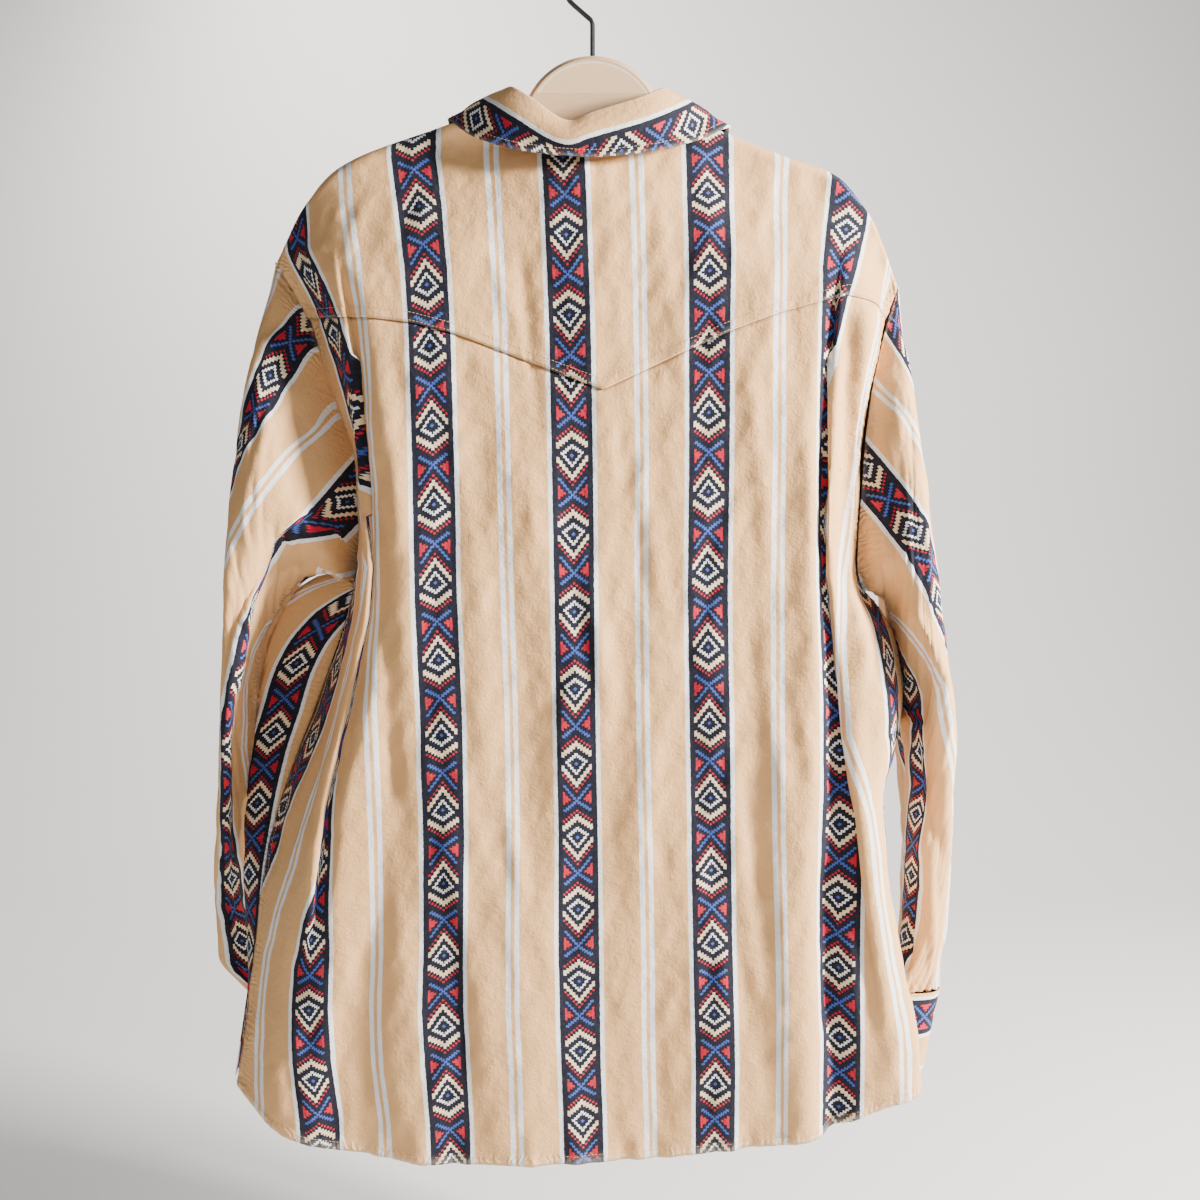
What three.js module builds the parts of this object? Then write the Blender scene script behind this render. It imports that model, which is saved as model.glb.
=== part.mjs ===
// A long-sleeved western snap shirt hanging flat on a wooden hanger, in millimetres.
// The origin is the inside top of the hanger's hook. +Z is up, +Y is the way the shirt's front faces,
// and the wearer's left is at -X, so a viewer who looks along +Y sees the back of the shirt.

import * as THREE from 'three';

// Driving dimensions
const WALL = 1.5;
const SEAM = 0.3;
const FOLD_RADIUS = 10;
const DRAPE = 110;
const LEAN_TOP = -200;
const LEAN = 11 / 700;
const RIDGE_ROUND = 24;
const EDGE_ROUND = 14;
const SIDE_ROUND = 18;
const CHEST_ROUND = 60;
const BULGE_AT = 0.75;
const CHEST_AT = 0.75;
const NECK_HALF = 78;
const NECK_MARGIN = 20;
const BACK_NECK_Z = -160;
const FRONT_NECK_Z = -205;
const SIDE_NECK_Z = -119;
const STAND_WALL = 1.5;
const STAND_INSET = 0.93;
const STAND_LIFT = 2;
const PLACKET_WIDTH = 34;
const PLACKET_RAISE = 0.7;
const PLACKET_FOLD = 3.2;
const YOKE_SPREAD = 2;
const PANEL_SPREAD = 1.35;
const WIRE = 4;
const HOOK_RADIUS = 23;
const HOOK_BEND_Z = -51;
const DISC_RADIUS = 57;
const DISC_TOP_Z = -78;
const DISC_BASE_Z = -113;
const HANGER_LIP = 6;
const ARM_REACH = { left: 202, right: 194 };
const ARM_DEPTH = 30;
const ARM_STATIONS = [62, 90, 120, 160];
const ARM_TURN = 160;
const ARM_BELLY = 70;
const BELLY_Z = -149;
const HANGER_THICKNESS = 10;
const HANGER_EDGE = 3.5;
const HANGER_CLEAR = 5;
const HANGER_DIP = 8;
const DIP_END = 112;
const DIP_OVER = 30;
const SNAP_RADIUS = 5.8;
const FIRST_SNAP = 40;
const SNAP_PITCH = 96;
const FRONT_SNAPS = 7;
const CUFF_LAP = 27;
const CUFF_RAISE = 2.5;

// A short table: named columns, one row for each section of the cloth
const table = (columns, rows) =>
  rows.map((row) => Object.fromEntries(columns.map((name, k) => [name, row[k]])));

const MIDDLE = table(['z', 'back', 'front'], [
  [-200, -38, 30],
  [-300, -43, 40],
  [-450, -44, 50],
  [-650, -38, 58],
  [-850, -30, 54],
  [-990, -22, 38],
]);

// ridge is where the back turns away, edge is the armhole seam and then the side seam,
// gap is the open armhole's depth at that height, and bulge is how far the front stands out past the edge
const SIDES = {
  left: table(['z', 'ridge', 'edge', 'edgeY', 'gap', 'bulge'], [
    [-236, -214, -257, 12, 0, 0],
    [-281, -188, -233, 14, 20, 0],
    [-346, -180, -212, 16, 24, 0],
    [-402, -178, -194, 18, 26, 0],
    [-450, -178, -194, 24, 22, 0],
    [-482, -179, -198, 34, 11, 0],
    [-502, -181, -205, 42, 0, 0],
    [-530, -185, -213, 46, 0, 18],
    [-570, -193, -228, 50, 0, 50],
    [-617, -203, -246, 51, 0, 44],
    [-650, -211, -259, 48, 0, 38],
    [-705, -223, -277, 40, 0, 26],
    [-757, -230, -287, 30, 0, 18],
    [-813, -234, -293, 20, 0, 10],
    [-867, -239, -300, 12, 0, 6],
    [-926, -243, -307, 4, 0, 5],
    [-990, -246, -312, 0, 0, 5],
  ]),
  right: table(['z', 'ridge', 'edge', 'edgeY', 'gap', 'bulge'], [
    [-257, 222, 246, 2, 0, 0],
    [-300, 215, 232, -12, 34, 0],
    [-343, 210, 222, -20, 52, 0],
    [-400, 206, 216, -22, 58, 0],
    [-450, 206, 215, -14, 46, 0],
    [-482, 208, 217, -2, 24, 0],
    [-505, 212, 222, 12, 0, 0],
    [-535, 220, 230, 20, 0, 8],
    [-560, 226, 236, 26, 0, 10],
    [-605, 240, 247, 32, 0, 8],
    [-678, 234, 242, 32, 0, 8],
    [-741, 242, 249, 30, 0, 8],
    [-810, 253, 260, 24, 0, 6],
    [-880, 268, 275, 16, 0, 5],
    [-925, 271, 280, 12, 0, 5],
    [-990, 274, 284, 10, 0, 5],
  ]),
};

const SHOULDERS = {
  left: table(['x', 'z', 'y'], [
    [0, -94, 0],
    [78, -119, 0],
    [130, -136, 0],
    [200, -163, 1],
    [234, -197, 6],
    [257, -236, 12],
  ]),
  right: table(['x', 'z', 'y'], [
    [0, -102, 0],
    [78, -127, 0],
    [146, -153, 0],
    [190, -169, 0],
    [221, -201, 1],
    [246, -257, 2],
  ]),
};

// The back yoke's pointed seam and the hem, by the cloth's distance from the centre back
const YOKE_SEAM = table(['s', 'z'], [
  [-254, -281], [-176, -288], [-142, -292], [-109, -301], [6, -344],
  [72, -314], [109, -298], [146, -284], [195, -270], [215, -273], [252, -284],
]);
const YOKE_POINT = 6;
const HEM = table(['s', 'z'], [
  [-312, -922], [-228, -966], [-112, -986], [-5, -985], [80, -975],
  [146, -963], [200, -938], [292, -924],
]);

// Soft folds of the body: a line down the cloth from (s0, z0) to (s1, z1), with a height out of the cloth
const BODY_FOLDS = table(['s0', 'z0', 's1', 'z1', 'width', 'height'], [
  [204, -215, 206, -620, 10, -13],
  [-150, -560, -205, -900, 22, -6],
  [60, -640, 40, -985, 26, -5],
  [-70, -700, -64, -985, 24, 5],
  [150, -560, 166, -940, 24, 5],
  [-390, -420, -420, -900, 26, 9],
  [-470, -560, -480, -960, 24, -8],
  [400, -420, 430, -940, 26, 8],
  [500, -380, 470, -900, 24, -7],
]);

// A sleeve's sections: the ends of each one along the crown and the underarm line, and its reach in Y
const SLEEVES = {
  left: table(['crownX', 'crownZ', 'underX', 'underZ', 'near', 'far'], [
    [-257, -236, -205, -502, 0, 44],
    [-262, -256, -209, -499, -14, 54],
    [-270, -280, -215, -495, -22, 64],
    [-279, -315, -227, -491, -28, 74],
    [-286, -352, -241, -494, -30, 82],
    [-293, -403, -257, -508, -30, 90],
    [-299, -463, -270, -528, -28, 96],
    [-303, -520, -281, -548, -24, 100],
    [-308, -570, -290, -574, -16, 104],
    [-319, -641, -301, -645, 4, 112],
    [-334, -736, -311, -736, 32, 116],
    [-342, -794, -313, -794, 52, 116],
    [-343, -842, -304, -842, 60, 112],
    [-327, -866, -280, -866, 63, 108],
    [-312, -880, -250, -880, 64, 104],
  ]),
  right: table(['crownX', 'crownZ', 'underX', 'underZ', 'near', 'far'], [
    [246, -257, 222, -505, -20, 40],
    [249, -278, 226, -504, -30, 56],
    [253, -302, 231, -505, -36, 66],
    [257, -335, 238, -508, -38, 74],
    [262, -375, 244, -514, -40, 80],
    [270, -425, 250, -525, -40, 88],
    [278, -480, 256, -545, -38, 96],
    [286, -535, 262, -570, -34, 102],
    [294, -583, 268, -600, -24, 108],
    [308, -659, 276, -662, 8, 112],
    [317, -726, 282, -728, 30, 114],
    [322, -775, 284, -775, 50, 114],
    [322, -813, 284, -813, 58, 110],
    [317, -848, 280, -848, 62, 106],
    [316, -873, 262, -873, 64, 103],
  ]),
};
const CUFFS = {
  left: { outer: [-310, -303], inner: [-250, -245], near: 64, far: 104, top: -881.8, bottom: -957 },
  right: { outer: [316, 301], inner: [262, 250], near: 64, far: 103, top: -874.4, bottom: -953 },
};

// Soft folds of the sleeves, in turns round the sleeve from the crown and in lengths down it
const SLEEVE_FOLDS = {
  left: table(['turn0', 'down0', 'turn1', 'down1', 'width', 'height'], [
    [0.46, 0.08, 0.2, 0.62, 0.045, -9],
    [0.38, 0.04, 0.12, 0.6, 0.05, 5],
    [0.2, 0.6, 0.3, 0.95, 0.05, -5],
    [0.9, 0.25, 0.72, 0.8, 0.06, -7],
  ]),
  right: table(['turn0', 'down0', 'turn1', 'down1', 'width', 'height'], [
    [0.46, 0.3, 0.1, 0.66, 0.05, 9],
    [0.5, 0.44, 0.2, 0.78, 0.06, -9],
    [0.3, 0.05, 0.24, 0.4, 0.05, -4],
    [0.9, 0.25, 0.72, 0.8, 0.06, -7],
  ]),
};
const SLEEVE_SQUARENESS = 2.5;

// The collar by the angle round the neck from the centre back: its fold line and its lower edge
const COLLAR = table(['angle', 'foldX', 'foldY', 'foldZ', 'dropX', 'dropY', 'dropZ'], [
  [-172, -6, 39, -170, -40, 50, -250],
  [-150, -32, 36, -152, -78, 40, -212],
  [-120, -56, 24, -119, -104, 22, -160],
  [-103, -64, 12, -108, -113, 18, -141],
  [-90, -66, 0, -104, -113, -2, -127],
  [-60, -60, -21, -108, -92, -24, -146],
  [-35, -44, -33, -121, -58, -36, -160],
  [-12, -16, -37, -139, -18, -39, -166],
  [0, -3, -38, -134, -2, -39, -167],
  [30, 36, -34, -120, 44, -37, -162],
  [60, 54, -21, -109, 82, -25, -149],
  [90, 58, 0, -106, 108, -2, -133],
  [103, 56, 12, -110, 107, 15, -147],
  [120, 50, 24, -122, 100, 22, -164],
  [150, 30, 36, -152, 76, 40, -212],
  [172, 6, 39, -170, 40, 50, -250],
]);

// A smooth curve through a table's rows that never overshoots them
function reader(rows, key) {
  const sorted = [...rows].sort((a, b) => a[key] - b[key]);
  const at = sorted.map((row) => row[key]);
  const slopes = {};
  for (const name of Object.keys(sorted[0])) {
    const secant = sorted.slice(1).map((row, k) => (row[name] - sorted[k][name]) / (at[k + 1] - at[k]));
    slopes[name] = sorted.map((row, k) => {
      const before = secant[Math.max(k - 1, 0)];
      const after = secant[Math.min(k, secant.length - 1)];
      return before * after <= 0 ? 0 : (2 * before * after) / (before + after);
    });
  }
  return (value) => {
    const x = Math.min(Math.max(value, at[0]), at[at.length - 1]);
    let k = 0;
    while (k < at.length - 2 && x > at[k + 1]) k += 1;
    const span = at[k + 1] - at[k];
    const t = (x - at[k]) / span;
    const row = {};
    for (const name of Object.keys(sorted[0])) {
      const a = sorted[k][name];
      const b = sorted[k + 1][name];
      const rise = slopes[name][k] * span;
      const fall = slopes[name][k + 1] * span;
      row[name] = a + t * (rise + t * (3 * (b - a) - 2 * rise - fall + t * (2 * (a - b) + rise + fall)));
    }
    return row;
  };
}

// Straight lines between a table's rows, for an outline with real corners
function polyline(rows, key, name) {
  return (value) => {
    let k = 0;
    while (k < rows.length - 2 && value > rows[k + 1][key]) k += 1;
    const t = (value - rows[k][key]) / (rows[k + 1][key] - rows[k][key]);
    return rows[k][name] + Math.min(Math.max(t, 0), 1) * (rows[k + 1][name] - rows[k][name]);
  };
}

const lerp = (a, b, t) => a + (b - a) * t;
const ease = (t) => {
  const x = Math.min(Math.max(t, 0), 1);
  return x * x * (3 - 2 * x);
};

const middleAt = reader(MIDDLE, 'z');
const sideAt = { left: reader(SIDES.left, 'z'), right: reader(SIDES.right, 'z') };
const shoulderAt = { left: reader(SHOULDERS.left, 'x'), right: reader(SHOULDERS.right, 'x') };
const yokeSeamZ = polyline(YOKE_SEAM, 's', 'z');
const hemRow = reader(HEM, 's');
const leanAt = (z) => LEAN * Math.max(LEAN_TOP - z, 0);
const armpitZ = { left: -500, right: -505 };
const sleeveTopZ = { left: SIDES.left[0].z, right: SIDES.right[0].z };

// A path through corners, each rounded by a quadratic curve that starts 'round' before it
function roundedPath(corners) {
  const points = [corners[0]];
  for (let k = 1; k < corners.length - 1; k += 1) {
    const here = corners[k];
    const before = Math.hypot(here.x - corners[k - 1].x, here.y - corners[k - 1].y);
    const after = Math.hypot(here.x - corners[k + 1].x, here.y - corners[k + 1].y);
    const round = Math.min(here.round, before / 2, after / 2);
    if (round > 0.01) {
      const from = round / before;
      const to = round / after;
      const start = { x: lerp(here.x, corners[k - 1].x, from), y: lerp(here.y, corners[k - 1].y, from) };
      const end = { x: lerp(here.x, corners[k + 1].x, to), y: lerp(here.y, corners[k + 1].y, to) };
      for (let step = 0; step <= 6; step += 1) {
        const t = step / 6;
        const a = (1 - t) * (1 - t);
        const b = 2 * t * (1 - t);
        const c = t * t;
        points.push({ x: a * start.x + b * here.x + c * end.x, y: a * start.y + b * here.y + c * end.y });
      }
    }
  }
  points.push(corners[corners.length - 1]);
  let length = 0;
  points.forEach((point, k) => {
    if (k > 0) length += Math.hypot(point.x - points[k - 1].x, point.y - points[k - 1].y);
    point.s = length;
  });
  return { points, length };
}

function along(path, s) {
  const { points } = path;
  let k = 0;
  while (k < points.length - 2 && s > points[k + 1].s) k += 1;
  const t = (s - points[k].s) / (points[k + 1].s - points[k].s || 1);
  return { x: lerp(points[k].x, points[k + 1].x, t), y: lerp(points[k].y, points[k + 1].y, t) };
}

// One half of the body's level section: from the centre back, round the side, to the centre front
const sections = new Map();
function section(side, z) {
  const name = `${side}${z.toFixed(3)}`;
  if (!sections.has(name)) {
    const row = sideAt[side](Math.min(z, sleeveTopZ[side]));
    const middle = middleAt(z);
    const sign = side === 'left' ? -1 : 1;
    const start = { x: leanAt(z), y: middle.back };
    const ridge = { x: row.ridge, y: middle.back + 3, round: RIDGE_ROUND };
    const edge = { x: row.edge, y: row.edgeY, round: 0 };
    const frontEdge = { x: row.edge, y: row.edgeY + row.gap, round: EDGE_ROUND };
    const bulgeY = lerp(frontEdge.y, middle.front, BULGE_AT);
    const bulge = { x: row.edge + sign * row.bulge, y: bulgeY, round: SIDE_ROUND };
    const chest = { x: row.edge * CHEST_AT, y: middle.front, round: CHEST_ROUND };
    const end = { x: leanAt(z), y: middle.front + 2 };
    const back = roundedPath([start, ridge, edge]);
    const front = roundedPath([frontEdge, bulge, chest, end]);
    sections.set(name, { back, front });
  }
  return sections.get(name);
}

// A point on the body's outer face: s runs from the centre back round to the centre front
function bodyPoint(side, face, s, z) {
  const { back, front } = section(side, z);
  const behind = z > armpitZ[side] ? face === 'back' : s <= back.length;
  const flat = behind ? along(back, s) : along(front, s - back.length);
  const sign = side === 'left' ? -1 : 1;
  const outward = face === 'back' ? -1 : 1;
  const shoulder = shoulderAt[side](Math.abs(flat.x));
  const below = Math.max(shoulder.z - z, 0);
  const hang = ease(below / DRAPE);
  const round = 1 - Math.min(below / FOLD_RADIUS, 1);
  const over = FOLD_RADIUS * Math.sqrt(1 - round * round) * (1 - hang);
  let y = lerp(shoulder.y, flat.y, hang) + outward * over;
  for (const fold of BODY_FOLDS) {
    const t = (fold.z0 - z) / (fold.z0 - fold.z1);
    if (t > 0) {
      const offset = (sign * s - lerp(fold.s0, fold.s1, Math.min(t, 1))) / fold.width;
      const rise = ease(t * 4) * Math.exp(-offset * offset) * fold.height;
      y += (behind ? -1 : 1) * rise * ease((sleeveTopZ[side] + 30 - z) / 60);
    }
  }
  return new THREE.Vector3(flat.x, y, z);
}

// The wall's inner face lies straight in from the outer one
function bodyInner(side, face, s, z) {
  const step = 1.5;
  const across = bodyPoint(side, face, s + step, z).sub(bodyPoint(side, face, Math.max(s - step, 0), z));
  const down = bodyPoint(side, face, s, z - step).sub(bodyPoint(side, face, s, z));
  const inward = new THREE.Vector3().crossVectors(across, down).normalize();
  const hand = side === 'left' ? 1 : -1;
  const outer = bodyPoint(side, face, s, z);
  return outer.addScaledVector(inward, -hand * WALL);
}

// A closed wall between two grids of points, over (columns + 1) by (rows + 1) points
function wall(columns, rows, outer, inner, closed) {
  const across = closed ? columns : columns + 1;
  const count = across * (rows + 1);
  const position = [];
  for (const face of [outer, inner]) {
    for (let j = 0; j <= rows; j += 1) {
      for (let i = 0; i < across; i += 1) position.push(...face(i / columns, j / rows).toArray());
    }
  }
  const index = [];
  const id = (face, i, j) => face * count + j * across + (i % across);
  const quad = (a, b, c, d) => index.push(a, b, c, a, c, d);
  for (let j = 0; j < rows; j += 1) {
    for (let i = 0; i < columns; i += 1) {
      quad(id(0, i, j), id(0, i + 1, j), id(0, i + 1, j + 1), id(0, i, j + 1));
      quad(id(1, i, j), id(1, i, j + 1), id(1, i + 1, j + 1), id(1, i + 1, j));
    }
  }
  for (let i = 0; i < columns; i += 1) {
    quad(id(0, i, 0), id(1, i, 0), id(1, i + 1, 0), id(0, i + 1, 0));
    quad(id(0, i, rows), id(0, i + 1, rows), id(1, i + 1, rows), id(1, i, rows));
  }
  if (!closed) {
    for (let j = 0; j < rows; j += 1) {
      quad(id(0, 0, j), id(0, 0, j + 1), id(1, 0, j + 1), id(1, 0, j));
      quad(id(0, columns, j), id(1, columns, j), id(1, columns, j + 1), id(0, columns, j + 1));
    }
  }
  const geometry = new THREE.BufferGeometry();
  geometry.setAttribute('position', new THREE.Float32BufferAttribute(position, 3));
  geometry.setIndex(index);
  return facingOut(geometry);
}

// Turn the triangles round if the solid's volume comes out negative
function facingOut(geometry) {
  const { array } = geometry.getAttribute('position');
  const order = Array.from(geometry.getIndex().array);
  const corner = (k) => new THREE.Vector3(array[3 * k], array[3 * k + 1], array[3 * k + 2]);
  let volume = 0;
  for (let k = 0; k < order.length; k += 3) {
    volume += corner(order[k]).dot(corner(order[k + 1]).cross(corner(order[k + 2])));
  }
  if (volume < 0) {
    for (let k = 0; k < order.length; k += 3) [order[k + 1], order[k + 2]] = [order[k + 2], order[k + 1]];
    geometry.setIndex(order);
  }
  geometry.computeVertexNormals();
  return geometry;
}

// A surface moved along its own normals
function offset(surface, distance, closed) {
  const step = 0.004;
  return (u, v) => {
    const left = closed ? u - step : Math.max(u - step, 0);
    const right = closed ? u + step : Math.min(u + step, 1);
    const across = surface(right, v).sub(surface(left, v));
    const down = surface(u, Math.min(v + step, 1)).sub(surface(u, Math.max(v - step, 0)));
    const normal = new THREE.Vector3().crossVectors(across, down).normalize();
    return surface(u, v).addScaledVector(normal, distance);
  };
}

function offsetWall(columns, rows, surface, thickness, closed) {
  return wall(columns, rows, surface, offset(surface, thickness, closed), closed);
}

const fabric = new THREE.MeshStandardMaterial({ color: 0xdcb98c, roughness: 0.92, metalness: 0 });
const printed = new THREE.MeshStandardMaterial({ color: 0x1d1f33, roughness: 0.92, metalness: 0 });
const pearl = new THREE.MeshStandardMaterial({ color: 0xf0ece2, roughness: 0.25, metalness: 0.1 });
const wood = new THREE.MeshStandardMaterial({ color: 0xd9b98d, roughness: 0.55, metalness: 0 });
const steel = new THREE.MeshStandardMaterial({ color: 0x55565c, roughness: 0.3, metalness: 0.9 });

const shirt = new THREE.Group();
function add(name, geometry, material) {
  const mesh = new THREE.Mesh(geometry, material);
  mesh.name = name;
  shirt.add(mesh);
  return mesh;
}

// Columns bunch up toward both ends, where the cloth turns
const BUNCHING = 0.55;
const bunch = (t) => lerp(t, 0.5 - 0.5 * Math.cos(Math.PI * t), BUNCHING);

// The two halves of the back share one grid; signed s is negative on the left
const edgeS = (side, z) => section(side, z).back.length - SEAM;
const backPoint = (make) => (s, z) => make(s < 0 ? 'left' : 'right', 'back', Math.abs(s), z);
function backS(t, z) {
  const half = t < 0.5 ? 2 * bunch(t) : 2 * bunch(t) - 1;
  return t < 0.5 ? lerp(-edgeS('left', z), YOKE_POINT, half) : lerp(YOKE_POINT, edgeS('right', z), half);
}
const NOMINAL_Z = -600;
const nominalS = (t) => backS(t, NOMINAL_Z);

function backGrid(topZ, bottomZ, make, spread = 1) {
  return (t, v) => {
    const z = lerp(topZ(t), bottomZ(t), v ** spread);
    return backPoint(make)(backS(t, z), z);
  };
}

// Back and back yoke
const YOKE_END_Z = -281;
const yokeEdgeZ = (t) => yokeSeamZ(backS(t, YOKE_END_Z));
const hemZ = (t) => hemRow(nominalS(t)).z;
const belowYoke = (t) => yokeEdgeZ(t) - SEAM;
add('back', wall(
  26,
  22,
  backGrid(belowYoke, hemZ, bodyPoint, PANEL_SPREAD),
  backGrid(belowYoke, hemZ, bodyInner, PANEL_SPREAD),
), fabric);

const backNeckZ = (x) => lerp(BACK_NECK_Z, SIDE_NECK_Z, Math.min(Math.abs(x) / NECK_HALF, 1) ** 2.2);
const frontNeckZ = (x) => lerp(FRONT_NECK_Z, SIDE_NECK_Z, Math.min(Math.abs(x) / NECK_HALF, 1) ** 2);
function yokeTopZ(t) {
  const s = backS(t, -236);
  const side = s < 0 ? 'left' : 'right';
  const x = Math.abs(along(section(side, sleeveTopZ[side]).back, Math.abs(s)).x);
  const shoulder = shoulderAt[side](x).z;
  return x < NECK_HALF ? Math.min(backNeckZ(x), shoulder) : shoulder;
}
const keepBehind = (make) => (t, v) => {
  const point = make(t, v);
  const side = point.x < 0 ? 'left' : 'right';
  const limit = shoulderAt[side](Math.abs(point.x)).y - SEAM / 2;
  if (point.y > limit && v < 0.5 && Math.abs(point.x) > NECK_HALF - NECK_MARGIN) point.y = limit;
  return point;
};
add('yoke_back', wall(
  26,
  8,
  keepBehind(backGrid(yokeTopZ, yokeEdgeZ, bodyPoint, YOKE_SPREAD)),
  keepBehind(backGrid(yokeTopZ, yokeEdgeZ, bodyInner, YOKE_SPREAD)),
), fabric);

// Fronts: columns run from the side to the front edge, and the left front laps over the right
const FRONT_YOKE = table(['t', 'z'], [[0, -292], [0.42, -322], [1, -268]]);
const frontYokeZ = polyline(FRONT_YOKE, 't', 'z');
const LAP_START = 0.6;
const frontLap = { left: PLACKET_WIDTH / 2, right: -PLACKET_WIDTH / 2 };
const lapShift = (side, t) => frontLap[side] * ease((t - LAP_START) / (1 - LAP_START));
const lapDepth = { left: 0, right: PLACKET_FOLD };
function frontS(side, t, z) {
  const { back, front } = section(side, z);
  const whole = back.length + front.length;
  return lerp(back.length + SEAM, whole, bunch(t));
}
function frontGrid(side, topZ, bottomZ, make, spread = 1) {
  return (t, v) => {
    const z = lerp(topZ(t), bottomZ(t), v ** spread);
    const point = make(side, 'front', frontS(side, t, z), z);
    const near = ease((2 * PLACKET_WIDTH - Math.abs(point.x - leanAt(z))) / PLACKET_WIDTH);
    point.x += lapShift(side, t);
    point.y -= lapDepth[side] * near;
    return point;
  };
}
const FRONT_HEM_Z = -984;
const HEM_END = { left: -312, right: 292 };
const frontHemZ = (side) => (t) => lerp(hemRow(HEM_END[side]).z, FRONT_HEM_Z, ease(t * 1.5));
const frontShoulderZ = (side) => (t) => {
  const { front } = section(side, sleeveTopZ[side]);
  const x = Math.abs(along(front, front.length * bunch(t)).x + lapShift(side, t));
  const shoulder = shoulderAt[side](x).z;
  return x < NECK_HALF ? Math.min(frontNeckZ(x), shoulder) : shoulder;
};
const keepInFront = (make) => (t, v) => {
  const point = make(t, v);
  const side = point.x < 0 ? 'left' : 'right';
  const limit = shoulderAt[side](Math.abs(point.x)).y + SEAM / 2;
  if (point.y < limit && v < 0.5) point.y = limit;
  return point;
};
for (const side of ['left', 'right']) {
  const below = (t) => frontYokeZ(t) - SEAM;
  add(`front_${side}`, wall(
    14,
    22,
    frontGrid(side, below, frontHemZ(side), bodyPoint, PANEL_SPREAD),
    frontGrid(side, below, frontHemZ(side), bodyInner, PANEL_SPREAD),
  ), fabric);
  add(`yoke_front_${side}`, wall(
    14,
    8,
    keepInFront(frontGrid(side, frontShoulderZ(side), frontYokeZ, bodyPoint, YOKE_SPREAD)),
    keepInFront(frontGrid(side, frontShoulderZ(side), frontYokeZ, bodyInner, YOKE_SPREAD)),
  ), fabric);
}

// The placket lies on the left front's edge
const placketSurface = (raise) => (t, v) => {
  const z = lerp(frontNeckZ(0) - 2, frontHemZ('left')(1), v);
  const middle = bodyPoint('left', 'front', frontS('left', 1, z), z);
  return new THREE.Vector3(leanAt(z) + PLACKET_WIDTH * (t - 0.5), middle.y + raise, z);
};
const placketTop = PLACKET_RAISE + WALL;
add('placket', wall(2, 24, placketSurface(placketTop), placketSurface(PLACKET_RAISE), false), fabric);

// Sleeves: each section is a rounded oblong, and the first one follows the armhole
const rounded = (value) => Math.sign(value) * Math.abs(value) ** (2 / SLEEVE_SQUARENESS);
function sleeveSection(row, turn) {
  const angle = 2 * Math.PI * turn;
  const c = rounded(Math.cos(angle));
  const s = rounded(Math.sin(angle));
  return new THREE.Vector3(
    (row.crownX + row.underX) / 2 + ((row.crownX - row.underX) / 2) * c,
    (row.near + row.far) / 2 - ((row.far - row.near) / 2) * s,
    (row.crownZ + row.underZ) / 2 + ((row.crownZ - row.underZ) / 2) * c,
  );
}
const SLEEVE_BLEND = 3;
const ARMHOLE_EASE = 1.2;
const SLIT = { turn0: 0.66, turn1: 0.75, down0: 0.78, down1: 0.995, raise: 0.9 };
function sleevePoint(side, turn, v) {
  const rows = SLEEVES[side];
  const place = v * (rows.length - 1);
  const here = sleeveRow[side](place);
  const point = sleeveSection(here, turn);
  const middle = new THREE.Vector3((here.crownX + here.underX) / 2, (here.near + here.far) / 2, point.z);
  const out = point.clone().sub(middle).normalize();
  for (const fold of SLEEVE_FOLDS[side]) {
    const t = (v - fold.down0) / (fold.down1 - fold.down0);
    const offset = (turn - lerp(fold.turn0, fold.turn1, t)) / fold.width;
    const rise = ease(t * 3) * ease((1 - t) * 3) * Math.exp(-offset * offset);
    point.addScaledVector(out, fold.height * rise);
  }
  if (place < SLEEVE_BLEND) {
    const first = sleeveSection(rows[0], turn);
    const row = sideAt[side](first.z);
    const deep = turn > 0.5 ? row.gap : 0;
    const sign = side === 'left' ? -1 : 1;
    const hole = new THREE.Vector3(row.edge + sign * ARMHOLE_EASE, row.edgeY + deep, first.z);
    point.addScaledVector(hole.sub(first), (1 - place / SLEEVE_BLEND) ** 2);
  }
  return point;
}
const sleeveRow = {};
for (const side of ['left', 'right']) {
  sleeveRow[side] = reader(SLEEVES[side].map((row, k) => ({ ...row, place: k })), 'place');
  const hand = side === 'left' ? -1 : 1;
  const surface = (u, v) => sleevePoint(side, u, v);
  add(`sleeve_${side}`, offsetWall(24, 22, surface, -hand * WALL, true), fabric);
  const strip = (u, v) => surface(lerp(SLIT.turn0, SLIT.turn1, u), lerp(SLIT.down0, SLIT.down1, v));
  const base = offset(strip, hand * SLIT.raise, false);
  const top = offset(strip, hand * (SLIT.raise + WALL), false);
  add(`sleeve_placket_${side}`, wall(3, 7, top, base, false), fabric);
}

// Cuffs: a band round the wrist whose outer end lifts and laps over the inner one
const CUFF_START = 0.12;
const CUFF_LIFT_FROM = 0.66;
const CUFF_LIFT_OVER = 0.17;
for (const side of ['left', 'right']) {
  const cuff = CUFFS[side];
  const hand = side === 'left' ? -1 : 1;
  const surface = (u, v) => {
    const outer = lerp(cuff.outer[0], cuff.outer[1], v);
    const inner = lerp(cuff.inner[0], cuff.inner[1], v);
    const girth = Math.PI * (Math.abs(outer - inner) + cuff.far - cuff.near) / 2;
    const angle = -2 * Math.PI * (CUFF_START + u * (1 + CUFF_LAP / girth));
    const raise = CUFF_RAISE * ease((u - CUFF_LIFT_FROM) / CUFF_LIFT_OVER);
    const halfWidth = (outer - inner) / 2 + hand * raise;
    const halfDepth = (cuff.far - cuff.near) / 2 + raise;
    return new THREE.Vector3(
      (outer + inner) / 2 + halfWidth * rounded(Math.cos(angle)),
      (cuff.near + cuff.far) / 2 - halfDepth * rounded(Math.sin(angle)),
      lerp(cuff.top, cuff.bottom, v),
    );
  };
  add(`cuff_${side}`, offsetWall(34, 2, surface, hand * WALL, false), printed);
}

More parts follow.
